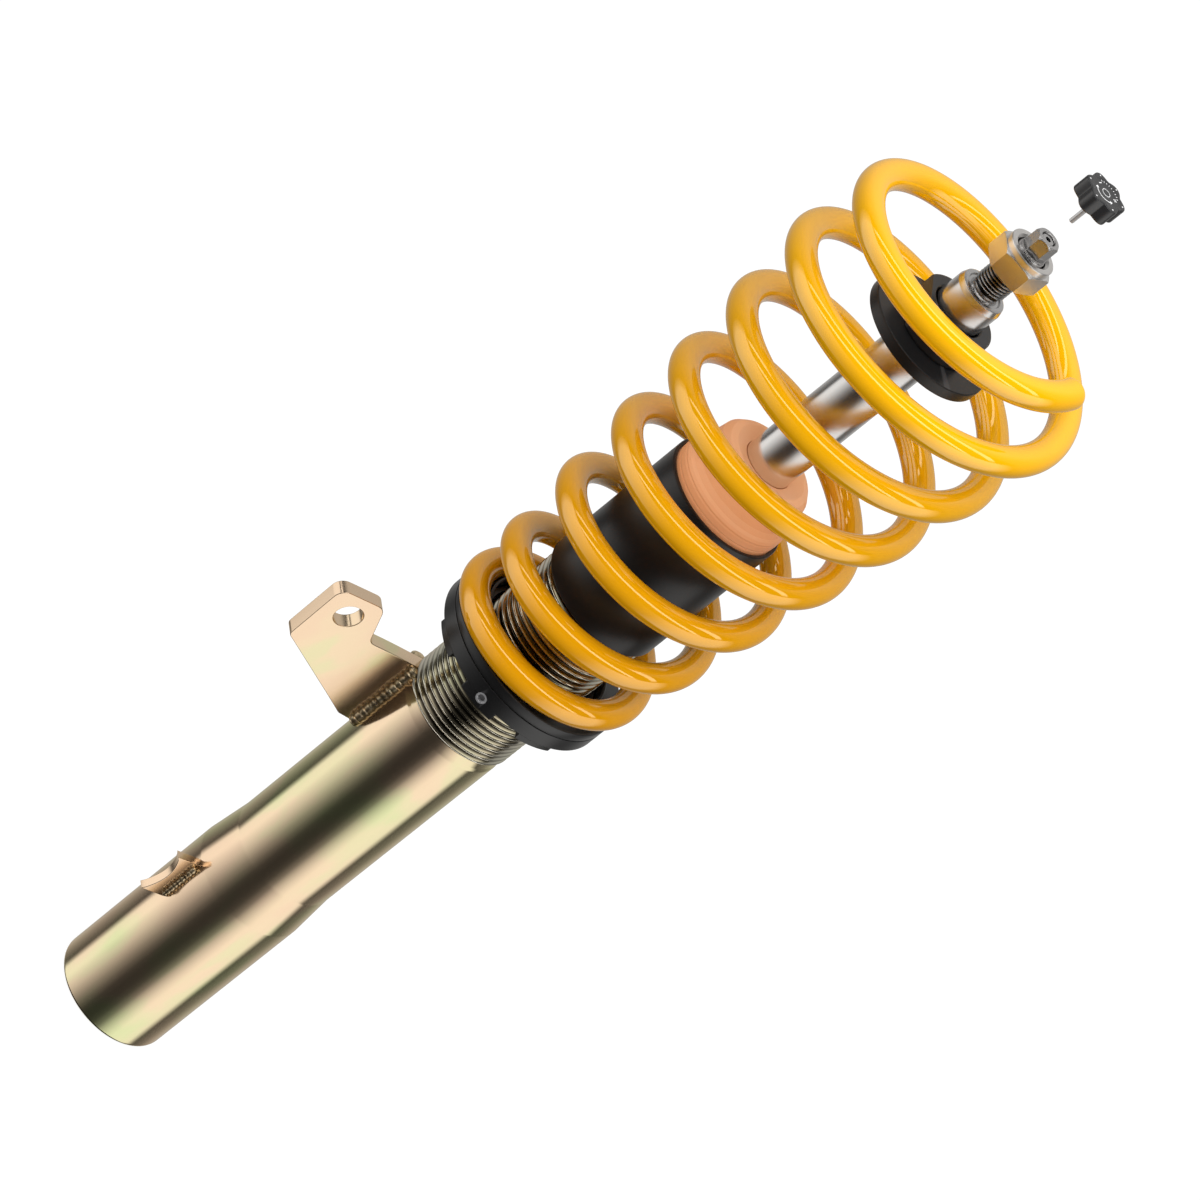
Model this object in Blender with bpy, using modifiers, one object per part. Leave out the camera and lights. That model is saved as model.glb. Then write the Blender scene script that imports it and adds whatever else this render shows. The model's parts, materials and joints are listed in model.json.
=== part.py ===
"""Front coilover strut: height-adjustable, rebound-adjustable twin-tube damper
with a conical coil spring.  Run with: blender --background --python part.py

Frame: metres, +Z up along the strut's axis, origin at the centre of the
housing's bottom face.  Azimuth 0 is +X, positive turns are right-handed
about +Z, and the front of the strut is -Y (azimuth 270).
"""
import math

import bmesh
import bpy
from mathutils import Matrix, Vector

MM = 0.001

# ---------------------------------------------------------------- dimensions (mm)
CLAMP_R = 27.5            # clamp section held by the steering knuckle
CLAMP_TOP = 91.0
TAPER_TOP = 113.0
BODY_R = 25.7             # strut tube
THREAD_R = 26.25          # crest of the perch thread, pitch 3
THREAD_PITCH = 3.0
THREAD_BOTTOM = 222.5
HOUSING_TOP = 362.0
HOUSING_BORE_R = 22.6

PRESSURE_R = 18.0         # damper bore
PRESSURE_WALL = 1.5
ROD_R = 11.0
ROD_BORE_R = 3.2
ROD_SHOULDER_Z = 518.6
ROD_THREAD_R = 6.9        # M14 stud, drawn at its crest less clearance
ROD_TOP = 554.0
STEM_R = 6.0
STEM_TOP = 296.0
STEM_BOTTOM = 268.5

WIRE_R = 6.25
SPRING_START = 70.0       # degrees of turn where the wire begins
SPRING_END = 2867.0       # degrees of turn where it ends
SPRING_Z0 = 272.6         # centre of the wire on the closed bottom coil
SPRING_R0 = 38.4          # coil centre radius at the bottom
# pitch, in mm per turn, at given turn angles; the wire climbs between them
PITCH_STATIONS = ((165, 0.0), (215, 22.0), (350, 22.0), (530, 36.5),
                  (2540, 36.5), (2620, 27.5), (2869, 27.5))
# growth of the coil radius, in mm per turn, at given turn angles
GROWTH_STATIONS = ((150, 0.0), (560, 3.85), (2500, 3.85), (2640, -13.0), (2869, -13.0))

SEAT_R = 41.5
SEAT_TOP = 270.5
SEAT_SEAM = 266.0
BAND_BOTTOM = 258.9       # lower edge of the collar's band
TAB_RING_R = 39.0         # castellated ring below the band
COLLAR_BOTTOM = 254.3
NOTCHES = 8
NOTCH_WIDTH = 12.7
NOTCH_FLOOR_R = 31.8
LUG_AZ = 271.1            # the castellation that carries the lock screw
LUG_WIDTH = 17.2
LUG_BOTTOM = 255.1
LOCK_Z = 259.2

CUP_R = 28.0
CUP_BOTTOM = 307.0
CUP_TOP = 378.4
BUMP_TOP = 403.4

STACK_BOTTOM = 487.1
NUT_AF = 22.0
NUT_BOTTOM = 533.3
NUT_TOP = 545.7
NUT_CORNER = -116.8       # azimuth of one corner
ROD_HEX_AF = 10.0
ROD_HEX_CORNER = -113.3

KNOB_BOTTOM = 576.1
KNOB_TOP = 583.8
KNOB_LOBES = 6
KNOB_LOBE_AT = 20.0
KNOB_R = 9.9
KNOB_VALLEY_R = 8.1
KEY_BOTTOM = 565.3

PLATE_T = 6.5             # link bracket plate
PLATE_P0 = (-24.0, -9.2)  # where its front face meets the tube
PLATE_DIR = 219.3         # azimuth along the plate, near the tube
PLATE_BEND = 3.7          # extra turn of the outer part
PLATE_BEND_S = 17.0
LINK_HOLE = (44.0, 232.9)
LINK_HOLE_R = 6.1

GAP = 0.3

# ---------------------------------------------------------------- scene helpers
for old in list(bpy.data.objects):
    bpy.data.objects.remove(old, do_unlink=True)

parts = bpy.data.collections.new("coilover")
cutters = bpy.data.collections.new("cutters")
bpy.context.scene.collection.children.link(parts)
bpy.context.scene.collection.children.link(cutters)


def material(name, colour, rough, metal):
    m = bpy.data.materials.new(name)
    m.use_nodes = True
    b = m.node_tree.nodes["Principled BSDF"]
    b.inputs["Base Color"].default_value = (*colour, 1.0)
    b.inputs["Roughness"].default_value = rough
    b.inputs["Metallic"].default_value = metal
    m.diffuse_color = (*colour, 1.0)
    return m


MAT = {
    "plated": material("plated_steel", (0.62, 0.55, 0.38), 0.3, 1.0),
    "weld": material("weld_metal", (0.45, 0.37, 0.24), 0.45, 1.0),
    "steel": material("machined_steel", (0.55, 0.55, 0.56), 0.35, 1.0),
    "chrome": material("rod_chrome", (0.8, 0.8, 0.82), 0.08, 1.0),
    "nut": material("nut_zinc", (0.66, 0.66, 0.68), 0.25, 1.0),
    "black": material("black_coating", (0.02, 0.02, 0.022), 0.45, 0.0),
    "black_metal": material("black_oxide", (0.05, 0.05, 0.055), 0.4, 0.6),
    "spring": material("spring_paint", (0.9, 0.45, 0.01), 0.2, 0.0),
    "foam": material("bump_foam", (0.85, 0.33, 0.13), 0.6, 0.0),
    "rubber": material("seal_rubber", (0.03, 0.03, 0.03), 0.6, 0.0),
    "sinter": material("sintered_steel", (0.3, 0.3, 0.31), 0.5, 1.0),
    "bronze": material("bush_bronze", (0.5, 0.33, 0.15), 0.4, 1.0),
    "brass": material("needle_brass", (0.7, 0.52, 0.22), 0.3, 1.0),
    "ptfe": material("ring_ptfe", (0.25, 0.2, 0.15), 0.5, 0.0),
    "nylon": material("pad_nylon", (0.8, 0.78, 0.7), 0.5, 0.0),
    "screw": material("screw_black", (0.08, 0.08, 0.085), 0.35, 0.9),
    "shim": material("shim_spring_steel", (0.5, 0.52, 0.56), 0.25, 1.0),
}


def empty(name, z):
    e = bpy.data.objects.new(name, None)
    e.empty_display_size = 0.02
    e.location = (0, 0, z * MM)
    parts.objects.link(e)
    return e


HOUSING = empty("housing_frame", 0)
SEAT = empty("seat_frame", SEAT_TOP)
COLLAR = empty("collar_frame", COLLAR_BOTTOM)
BAND = empty("band_frame", 279.4)
ROD = empty("rod_frame", ROD_SHOULDER_Z)
ADJUSTER = empty("adjuster_frame", ROD_TOP)
NEEDLE = empty("needle_frame", 300)
KNOB = empty("knob_frame", KNOB_BOTTOM)


def place(ob, mat=None, parent=None):
    """Link a finished object, as a part under its frame or as a cutter."""
    if mat is None:
        cutters.objects.link(ob)
        ob.hide_render = True
        ob.display_type = 'WIRE'
        return ob
    parts.objects.link(ob)
    ob.data.materials.clear()
    ob.data.materials.append(MAT[mat])
    ob.parent = parent
    ob.matrix_parent_inverse = Matrix.Translation(-parent.location)
    return ob


def turned(name, profile, mat=None, parent=None, steps=32, solid=False):
    """Turn a profile of (radius, z) points in mm about the strut's axis.
    The outer side runs downwards.  A solid profile starts and ends on the axis."""
    me = bpy.data.meshes.new(name)
    bm = bmesh.new()
    vs = [bm.verts.new((r * MM, 0, z * MM)) for r, z in profile]
    for a, b in zip(vs, vs[1:]):
        bm.edges.new((a, b))
    if not solid:
        bm.edges.new((vs[-1], vs[0]))
    bm.to_mesh(me)
    bm.free()
    ob = bpy.data.objects.new(name, me)
    place(ob, mat, parent)
    sc = ob.modifiers.new("turn", 'SCREW')
    sc.axis = 'Z'
    sc.angle = 2 * math.pi
    sc.steps = steps
    sc.render_steps = steps
    sc.use_merge_vertices = True
    sc.merge_threshold = 0.00001
    sc.use_smooth_shade = True
    return ob


def moved(ob, x=0.0, y=0.0, z=0.0, rot=(0, 0, 0)):
    """Shift an object (mm) and turn it (degrees), on top of where it is."""
    m = Matrix.Translation((x * MM, y * MM, z * MM))
    for ang, ax in zip(rot, 'XYZ'):
        m = m @ Matrix.Rotation(math.radians(ang), 4, ax)
    ob.matrix_world = m
    return ob


def prism(name, af, z0, z1, corner_az, sides=6, mat=None, parent=None):
    """Regular prism with the given width across flats, one corner at corner_az."""
    me = bpy.data.meshes.new(name)
    bm = bmesh.new()
    r = af / 2 / math.cos(math.pi / sides) * MM
    bmesh.ops.create_cone(bm, cap_ends=True, segments=sides, radius1=r, radius2=r,
                          depth=(z1 - z0) * MM)
    first = min(bm.verts, key=lambda v: (round(abs(math.atan2(v.co.y, v.co.x)), 5), v.co.z))
    now = math.atan2(first.co.y, first.co.x)
    bmesh.ops.rotate(bm, verts=bm.verts, cent=(0, 0, 0),
                     matrix=Matrix.Rotation(math.radians(corner_az) - now, 3, 'Z'))
    bmesh.ops.translate(bm, verts=bm.verts, vec=(0, 0, (z0 + z1) / 2 * MM))
    bm.to_mesh(me)
    bm.free()
    return place(bpy.data.objects.new(name, me), mat, parent)


def rod_along(name, r, a, b, segments=16, mat=None, parent=None):
    """Plain cylinder between two points in mm."""
    a, b = Vector(a) * MM, Vector(b) * MM
    me = bpy.data.meshes.new(name)
    bm = bmesh.new()
    bmesh.ops.create_cone(bm, cap_ends=True, segments=segments, radius1=r * MM,
                          radius2=r * MM, depth=(b - a).length)
    q = (b - a).to_track_quat('Z', 'Y').to_matrix().to_4x4()
    bmesh.ops.transform(bm, matrix=Matrix.Translation((a + b) / 2) @ q, verts=bm.verts)
    bm.to_mesh(me)
    bm.free()
    return place(bpy.data.objects.new(name, me), mat, parent)


def block(name, size, centre, az=0.0, mat=None, parent=None):
    """Box of the given size, its local X turned to azimuth az."""
    me = bpy.data.meshes.new(name)
    bm = bmesh.new()
    bmesh.ops.create_cube(bm, size=1.0)
    bmesh.ops.scale(bm, vec=[s * MM for s in size], verts=bm.verts)
    bmesh.ops.transform(bm, verts=bm.verts,
                        matrix=Matrix.Translation(Vector(centre) * MM)
                        @ Matrix.Rotation(math.radians(az), 4, 'Z'))
    bm.to_mesh(me)
    bm.free()
    return place(bpy.data.objects.new(name, me), mat, parent)


def cut(ob, *tools, how='DIFFERENCE'):
    for t in tools:
        m = ob.modifiers.new(how.lower() + "_" + t.name, 'BOOLEAN')
        m.operation = how
        m.solver = 'EXACT'
        m.object = t
    return ob


def outline_mesh(name, points, half):
    """Flat outline of (x, y) points in mm, filled and extruded by half each way,
    returned as a closed mesh lying in its own XY plane."""
    cu = bpy.data.curves.new(name + "_outline", 'CURVE')
    cu.dimensions = '2D'
    cu.fill_mode = 'BOTH'
    cu.extrude = half * MM
    sp = cu.splines.new('POLY')
    sp.points.add(len(points) - 1)
    for p, (x, y) in zip(sp.points, points):
        p.co = (x * MM, y * MM, 0, 1)
    sp.use_cyclic_u = True
    ob = bpy.data.objects.new(name + "_outline", cu)
    bpy.context.scene.collection.objects.link(ob)
    dg = bpy.context.evaluated_depsgraph_get()
    me = bpy.data.meshes.new_from_object(ob.evaluated_get(dg))
    me.name = name
    bpy.data.objects.remove(ob, do_unlink=True)
    bm = bmesh.new()
    bm.from_mesh(me)
    bmesh.ops.remove_doubles(bm, verts=bm.verts, dist=0.000005)
    bmesh.ops.recalc_face_normals(bm, faces=bm.faces)
    bm.to_mesh(me)
    bm.free()
    return me


def bore_tool(name, r, z0, z1, steps=24):
    return turned(name, [(0, z1), (r, z1), (r, z0), (0, z0)], steps=steps, solid=True)


def rad(az):
    return math.radians(az)


def polar(r, az, z=0.0):
    return (r * math.cos(rad(az)), r * math.sin(rad(az)), z)


# ---------------------------------------------------------------- housing
turned("housing_tube", [
    (HOUSING_BORE_R, HOUSING_TOP), (THREAD_R - 0.9, HOUSING_TOP), (THREAD_R, HOUSING_TOP - 0.9),
    (THREAD_R, THREAD_BOTTOM + 0.6), (BODY_R, THREAD_BOTTOM), (BODY_R, TAPER_TOP),
    (CLAMP_R, CLAMP_TOP), (CLAMP_R, 1.2), (CLAMP_R - 0.4, 0.35), (CLAMP_R - 1.2, 0.0),
    (HOUSING_BORE_R, 0.0)], "plated", HOUSING, steps=48)

turned("base_cap", [
    (0, 7.5), (17.5, 7.5), (18.5, 10.5), (22.3, 10.5), (22.3, 0.8), (21.5, 0.0), (0, 0.0)],
    "plated", HOUSING, steps=32, solid=True)

turned("pressure_tube", [
    (PRESSURE_R, 344.0), (PRESSURE_R + PRESSURE_WALL, 344.0),
    (PRESSURE_R + PRESSURE_WALL, 22.0), (PRESSURE_R, 22.0)], "steel", HOUSING, steps=28)

valve_ports = [rod_along("base_port_%d" % k, 2.0, polar(9.5, 45 + 90 * k, 10), polar(9.5, 45 + 90 * k, 34), 8)
               for k in range(4)]
valve_slots = [block("base_slot_%d" % k, (44, 6, 4), (0, 0, 9.5), 90 * k) for k in range(2)]
body = turned("base_valve_body", [
    (3.3, 30.0), (16.9, 30.0), (17.7, 29.2), (17.7, 21.7), (19.2, 21.7), (17.3, 12.0), (17.3, 7.8),
    (13.5, 7.8), (13.5, 16.0), (3.3, 16.0)], "sinter", HOUSING, steps=20)
cut(body, *valve_ports, *valve_slots)
turned("base_valve_discs", [(3.2, 32.0), (9.0, 32.0), (9.0, 31.3), (13.0, 31.3), (13.0, 30.3), (3.2, 30.3)],
       "shim", HOUSING, steps=20)
turned("base_valve_bolt", [(0, 37.8), (2.4, 37.8), (2.9, 37.3), (2.9, 15.7), (5.5, 15.7), (5.5, 12.2),
                           (5.0, 11.7), (0, 11.7)], "steel", HOUSING, steps=16, solid=True)
cut(prism("base_valve_nut", 9.0, 32.3, 36.6, 0, mat="steel", parent=HOUSING),
    bore_tool("base_nut_bore", 3.1, 31, 38, 16))

guide = turned("rod_guide", [
    (12.7, 352.0), (22.0, 352.0), (22.3, 351.7), (22.3, 349.4), (20.9, 349.4), (20.9, 346.6),
    (22.3, 346.6), (22.3, 344.3), (17.7, 344.3), (17.7, 336.2), (12.7, 336.2)],
    "sinter", HOUSING, steps=24)
turned("guide_bush", [(11.2, 351.2), (12.4, 351.2), (12.4, 337.0), (11.2, 337.0)], "bronze", HOUSING, steps=24)

bpy.ops.mesh.primitive_torus_add(major_segments=32, minor_segments=6, major_radius=21.75 * MM,
                                 minor_radius=0.75 * MM, location=(0, 0, 348 * MM))
ring = bpy.context.object
ring.name = "guide_o_ring"
for c in list(ring.users_collection):
    c.objects.unlink(ring)
place(ring, "rubber", HOUSING)
ring.location = (0, 0, 348 * MM)

turned("rod_seal", [(12.9, 358.0), (18.0, 358.0), (18.0, 352.4), (13.4, 352.4), (11.25, 353.8),
                    (12.2, 355.2), (11.25, 356.8)], "rubber", HOUSING, steps=24)
gland = turned("gland_nut", [
    (12.2, 361.8), (21.6, 361.8), (22.3, 361.1), (22.3, 352.4), (18.3, 352.4), (18.3, 358.3),
    (12.2, 358.3)], "plated", HOUSING, steps=24)
cut(gland, *[rod_along("gland_hole_%d" % k, 2.0, polar(17.5, 90 * k, 359.9), polar(17.5, 90 * k, 363), 8)
             for k in range(4)])

turned("bump_stop_cup", [
    (26.9, CUP_TOP), (CUP_R - 0.5, CUP_TOP), (CUP_R, CUP_TOP - 0.6), (CUP_R, CUP_BOTTOM + 0.9),
    (CUP_R - 0.5, CUP_BOTTOM), (THREAD_R + 0.45, CUP_BOTTOM), (THREAD_R + 0.45, 362.4), (13.0, 362.4),
    (13.0, 365.9), (26.6, 365.9), (26.6, CUP_TOP - 0.4)], "black", HOUSING, steps=40)

turned("bump_stop", [
    (11.7, BUMP_TOP - 1.6), (14.0, BUMP_TOP - 0.9), (17.4, BUMP_TOP), (20.2, BUMP_TOP - 1.0),
    (22.6, BUMP_TOP - 4.2), (23.2, BUMP_TOP - 9.5), (24.8, 386.0), (26.2, 384.4), (26.4, 380.6),
    (26.1, 379.4), (26.1, 366.2), (11.7, 366.2)], "foam", HOUSING, steps=28)

# ---------------------------------------------------------------- link bracket
# The plate's outline, s along the plate from the tube and z up, with its corners
# rounded by short arcs.


def rounded(points, radii, n=4):
    """Polygon with its corners replaced by arcs; a zero radius keeps the corner."""
    out = []
    for i, (p, r) in enumerate(zip(points, radii)):
        p = Vector(p)
        a = Vector(points[i - 1]) - p
        b = Vector(points[(i + 1) % len(points)]) - p
        if r <= 0:
            out.append(tuple(p))
            continue
        a.normalize()
        b.normalize()
        half = a.angle(b) / 2
        d = r / math.tan(half)
        c = p + (a + b).normalized() * (r / math.sin(half))
        t0, t1 = p + a * d - c, p + b * d - c
        turn = t0.angle_signed(t1)
        for k in range(n + 1):
            ang = -turn * k / n
            out.append((c.x + t0.x * math.cos(ang) - t0.y * math.sin(ang),
                        c.y + t0.x * math.sin(ang) + t0.y * math.cos(ang)))
    return out


plate_outline = rounded(
    [(-9, 225.0), (26.2, 225.0), (34.6, 244.2), (57.0, 244.2), (57.0, 211.8), (53.0, 209.7), (8.5, 185.0),
     (-9, 184.5)],
    [0, 3.0, 4.5, 3.0, 2.0, 2.0, 3.0, 0])


def plate_frame(s, q, z):
    """Point of the bracket: s along the plate, q behind its front face, z up."""
    d = Vector(polar(1, PLATE_DIR))
    n = Vector((-d.y, d.x, 0)) * -1       # out of the front face: d turned by -90 degrees
    n = Vector((math.cos(rad(PLATE_DIR + 90)), math.sin(rad(PLATE_DIR + 90)), 0))
    p = Vector((PLATE_P0[0], PLATE_P0[1], 0))
    if s > PLATE_BEND_S:
        d2 = Vector(polar(1, PLATE_DIR + PLATE_BEND))
        n2 = Vector((math.cos(rad(PLATE_DIR + PLATE_BEND + 90)),
                     math.sin(rad(PLATE_DIR + PLATE_BEND + 90)), 0))
        p = p + d * PLATE_BEND_S
        return (p + d2 * (s - PLATE_BEND_S) - n2 * q + Vector((0, 0, z))) * MM
    return (p + d * s - n * q + Vector((0, 0, z))) * MM


plate_mesh = outline_mesh("link_bracket", plate_outline, PLATE_T / 2)
bm = bmesh.new()
bm.from_mesh(plate_mesh)
for cut_s in (PLATE_BEND_S,):
    bmesh.ops.bisect_plane(bm, geom=bm.verts[:] + bm.edges[:] + bm.faces[:], dist=1e-7,
                           plane_co=(cut_s * MM, 0, 0), plane_no=(1, 0, 0))
for v in bm.verts:
    s, z, q = v.co.x / MM, v.co.y / MM, PLATE_T / 2 - v.co.z / MM
    v.co = plate_frame(s, q, z)
bmesh.ops.recalc_face_normals(bm, faces=bm.faces)
bm.to_mesh(plate_mesh)
bm.free()
bracket = place(bpy.data.objects.new("link_bracket", plate_mesh), "plated", HOUSING)
cut(bracket, bore_tool("bracket_tube_cut", THREAD_R + 0.2, 150, 260, 64),
    rod_along("link_hole", LINK_HOLE_R, plate_frame(LINK_HOLE[0], -6, LINK_HOLE[1]) / MM,
              plate_frame(LINK_HOLE[0], PLATE_T + 6, LINK_HOLE[1]) / MM, 32))

# the weld beads lie in the two corners between the plate and the tube
plate_side_front = block("weld_plate_front", (80, PLATE_T + 0.5, 80), (0, 0, 0))
mid = (plate_frame(0, PLATE_T / 2, 205) / MM)
plate_side_front.matrix_world = Matrix.Translation(Vector(mid) * MM) @ Matrix.Rotation(rad(PLATE_DIR), 4, 'Z')
tube_cut = bore_tool("weld_tube_cut", THREAD_R + 0.2, 150, 260, 64)
for name, q, lift in (("link_bracket_weld_front", -1.0, 1.2), ("link_bracket_weld_rear", PLATE_T + 1.0, -1.6)):
    foot = plate_frame(lift, q, 0) / MM
    bead = rod_along(name, 3.9, (foot[0], foot[1], 186.0), (foot[0], foot[1], 224.0), 16, "weld", HOUSING)
    cut(bead, tube_cut, plate_side_front)

# ---------------------------------------------------------------- locating tab
TAB_AZ = 225.0
TAB_BOTTOM, TAB_TOP, TAB_OUT, TAB_T, TAB_DISH = 65.0, 89.0, 38.5, 4.0, 4.2
tab_points = [(27.9, TAB_BOTTOM), (TAB_OUT, TAB_BOTTOM)]
for k in range(1, 9):
    t = k / 9
    tab_points.append((TAB_OUT - TAB_DISH * math.sin(math.pi * t) ** 0.8,
                       TAB_BOTTOM + (TAB_TOP - TAB_BOTTOM) * t))
tab_points += [(TAB_OUT, TAB_TOP), (27.9, TAB_TOP)]
tab_mesh = outline_mesh("locating_tab", tab_points, TAB_T / 2)
bm = bmesh.new()
bm.from_mesh(tab_mesh)
for v in bm.verts:
    r, z, q = v.co.x, v.co.y, v.co.z
    c, s = math.cos(rad(TAB_AZ)), math.sin(rad(TAB_AZ))
    v.co = (r * c - q * s, r * s + q * c, z)
bmesh.ops.recalc_face_normals(bm, faces=bm.faces)
bm.to_mesh(tab_mesh)
bm.free()
place(bpy.data.objects.new("locating_tab", tab_mesh), "plated", HOUSING)

q = TAB_T / 2 + 0.7
c, s = math.cos(rad(TAB_AZ)), math.sin(rad(TAB_AZ))
foot = (28.2 * c - q * s, 28.2 * s + q * c)
foot = (28.2 * c - q * s, 28.2 * s + q * c)
tab_bead = rod_along("locating_tab_weld", 2.3, (foot[0], foot[1], TAB_BOTTOM + 2), (foot[0], foot[1], TAB_TOP - 2),
                     14, "weld", HOUSING)
cut(tab_bead, bore_tool("tab_weld_cut", CLAMP_R + 0.25, 50, 91, 64),
    block("tab_weld_plate", (40, TAB_T + 0.5, 60), polar(30, TAB_AZ, 77), TAB_AZ))

# ---------------------------------------------------------------- coil spring


def station(table, turn):
    """Value at a turn angle, straight between the stations."""
    if turn <= table[0][0]:
        return table[0][1]
    for (a0, v0), (a1, v1) in zip(table, table[1:]):
        if turn <= a1:
            return v0 + (v1 - v0) * (turn - a0) / (a1 - a0)
    return table[-1][1]


def spring_path(step):
    """Centre of the wire as (turn angle, radius, z), walked along the turns."""
    out = []
    z, r, a = SPRING_Z0, SPRING_R0, SPRING_START
    count = int(round((SPRING_END - SPRING_START) / step))
    h = (SPRING_END - SPRING_START) / count
    for k in range(count + 1):
        out.append((a, r, z))
        z += station(PITCH_STATIONS, a + h / 2) * h / 360
        r += station(GROWTH_STATIONS, a + h / 2) * h / 360
        a += h
    return out


coil = spring_path(16.0)
cu = bpy.data.curves.new("coil_spring_wire", 'CURVE')
cu.dimensions = '3D'
cu.fill_mode = 'FULL'
cu.bevel_depth = WIRE_R * MM
cu.bevel_resolution = 2
cu.use_fill_caps = True
sp = cu.splines.new('POLY')
sp.points.add(len(coil) - 1)
for p, (a, r, z) in zip(sp.points, coil):
    p.co = (*[v * MM for v in polar(r, a, z)], 1)
tmp = bpy.data.objects.new("coil_spring_wire", cu)
bpy.context.scene.collection.objects.link(tmp)
dg = bpy.context.evaluated_depsgraph_get()
coil_mesh = bpy.data.meshes.new_from_object(tmp.evaluated_get(dg))
bpy.data.objects.remove(tmp, do_unlink=True)
bm = bmesh.new()
bm.from_mesh(coil_mesh)
bmesh.ops.remove_doubles(bm, verts=bm.verts, dist=0.00001)
bmesh.ops.recalc_face_normals(bm, faces=bm.faces)
for f in bm.faces:
    f.smooth = True
bm.to_mesh(coil_mesh)
bm.free()
coil_mesh.name = "coil_spring"
place(bpy.data.objects.new("coil_spring", coil_mesh), "spring", SEAT)

# ---------------------------------------------------------------- spring seat
# A ring whose top has a trough for the closed bottom coil: it starts with a stop
# at the wire's end and runs out as the wire climbs.  Each section is a closed
# polygon, and neighbouring sections are joined by quads.
TROUGH_R = WIRE_R + 0.45
HUB_R = 29.9


def wire_at(az):
    for a, r, z in FINE:
        if a >= az:
            return r, z
    return FINE[-1][1:]


FINE = spring_path(2.0)
SEAT_BETA = (27.0, 12.0, -4.0, -20.0, -36.0, -54.0, -74.0)


def seat_section(az, grooved):
    """(radius, z) points of the seat's section at an azimuth."""
    turn = az if az >= SPRING_START else az + 360
    rc, zc = wire_at(turn)
    pts = [(HUB_R, 261.9), (39.3, 261.9), (39.3, SEAT_SEAM), (SEAT_R - 0.3, SEAT_SEAM), (SEAT_R, SEAT_SEAM + 0.25)]
    floor = []
    for b in SEAT_BETA:
        r = SPRING_R0 + TROUGH_R * math.sin(rad(b))
        z = SEAT_TOP
        if grooved:
            d = r - rc
            z = min(SEAT_TOP, zc - math.sqrt(max(TROUGH_R ** 2 - d * d, 0.0)))
        floor.append((r, z))
    edge = floor[0][1]
    pts.append((SEAT_R, max(edge - 0.45 if edge >= SEAT_TOP - 0.01 else edge, SEAT_SEAM + 0.45)))
    pts += floor
    pts += [(31.5, SEAT_TOP if not grooved else min(SEAT_TOP, max(floor[-1][1], zc - 3.0))), (31.3, 274.1),
            (30.9, 274.5), (30.2, 274.5), (HUB_R, 274.2)]
    return pts


angles = [SPRING_START - 2.0 + 11.25 * k for k in range(32)]
sections = []
for k, az in enumerate(angles):
    a = az % 360
    grooved = (SPRING_START - 2.5) < az < 268
    if k == 0:
        sections.append((az - 0.8, seat_section(a, False)))
    sections.append((az, seat_section(max(a, SPRING_START), grooved)))
me = bpy.data.meshes.new("spring_seat")
bm = bmesh.new()
rings = [[bm.verts.new([v * MM for v in polar(r, az, z)]) for r, z in pts] for az, pts in sections]
for i, ring_a in enumerate(rings):
    ring_b = rings[(i + 1) % len(rings)]
    n = len(ring_a)
    for j in range(n):
        bm.faces.new((ring_a[j], ring_b[j], ring_b[(j + 1) % n], ring_a[(j + 1) % n]))
bmesh.ops.triangulate(bm, faces=bm.faces)
bmesh.ops.remove_doubles(bm, verts=bm.verts, dist=0.000001)
bmesh.ops.recalc_face_normals(bm, faces=bm.faces)
for f in bm.faces:
    f.smooth = True
bm.to_mesh(me)
bm.free()
me.set_sharp_from_angle(angle=rad(35))
place(bpy.data.objects.new("spring_seat", me), "black", SEAT)

# ---------------------------------------------------------------- adjusting collar
collar = turned("adjusting_collar", [
    (27.3, 269.6), (29.5, 269.6), (29.5, 261.6), (39.7, 261.6), (39.7, SEAT_SEAM - 0.2),
    (SEAT_R - 0.1, SEAT_SEAM - 0.2), (SEAT_R, SEAT_SEAM - 0.3), (SEAT_R, BAND_BOTTOM + 0.3),
    (SEAT_R - 0.3, BAND_BOTTOM), (TAB_RING_R, BAND_BOTTOM), (TAB_RING_R, COLLAR_BOTTOM + 0.4),
    (TAB_RING_R - 0.4, COLLAR_BOTTOM), (27.3, COLLAR_BOTTOM), (THREAD_R + 0.25, COLLAR_BOTTOM + 1.0),
    (THREAD_R + 0.25, 268.6)], "black", COLLAR, steps=48)
lug = block("collar_lug", (8.0, LUG_WIDTH, 261.0 - LUG_BOTTOM), polar(38.2, LUG_AZ, (261.0 + LUG_BOTTOM) / 2), LUG_AZ)
cut(lug, turned("lug_trim", [(SEAT_R - 0.05, 264), (48, 264), (48, 252), (SEAT_R - 0.05, 252)], steps=96))
cut(collar, lug, how='UNION')
cut(collar, *[block("collar_notch_%d" % k, (30, NOTCH_WIDTH, 10),
                    polar(NOTCH_FLOOR_R + 15, LUG_AZ + 22.5 + 45 * k, BAND_BOTTOM - 5),
                    LUG_AZ + 22.5 + 45 * k) for k in range(NOTCHES)],
    rod_along("lock_hole", 2.6, polar(24, LUG_AZ, LOCK_Z), polar(46, LUG_AZ, LOCK_Z), 14))
screw = rod_along("collar_lock_screw", 2.35, polar(31.6, LUG_AZ, LOCK_Z), polar(41.2, LUG_AZ, LOCK_Z), 14, "screw", COLLAR)
hexkey = prism("lock_socket", 2.5, 0, 4.0, 0)
hexkey.matrix_world = (Matrix.Translation(Vector(polar(38.6, LUG_AZ, LOCK_Z)) * MM)
                       @ Vector(polar(1, LUG_AZ)).to_track_quat('Z', 'Y').to_matrix().to_4x4())
cut(screw, hexkey)
rod_along("lock_screw_pad", 2.2, polar(26.9, LUG_AZ, LOCK_Z), polar(31.3, LUG_AZ, LOCK_Z), 14, "nylon", COLLAR)

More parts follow.
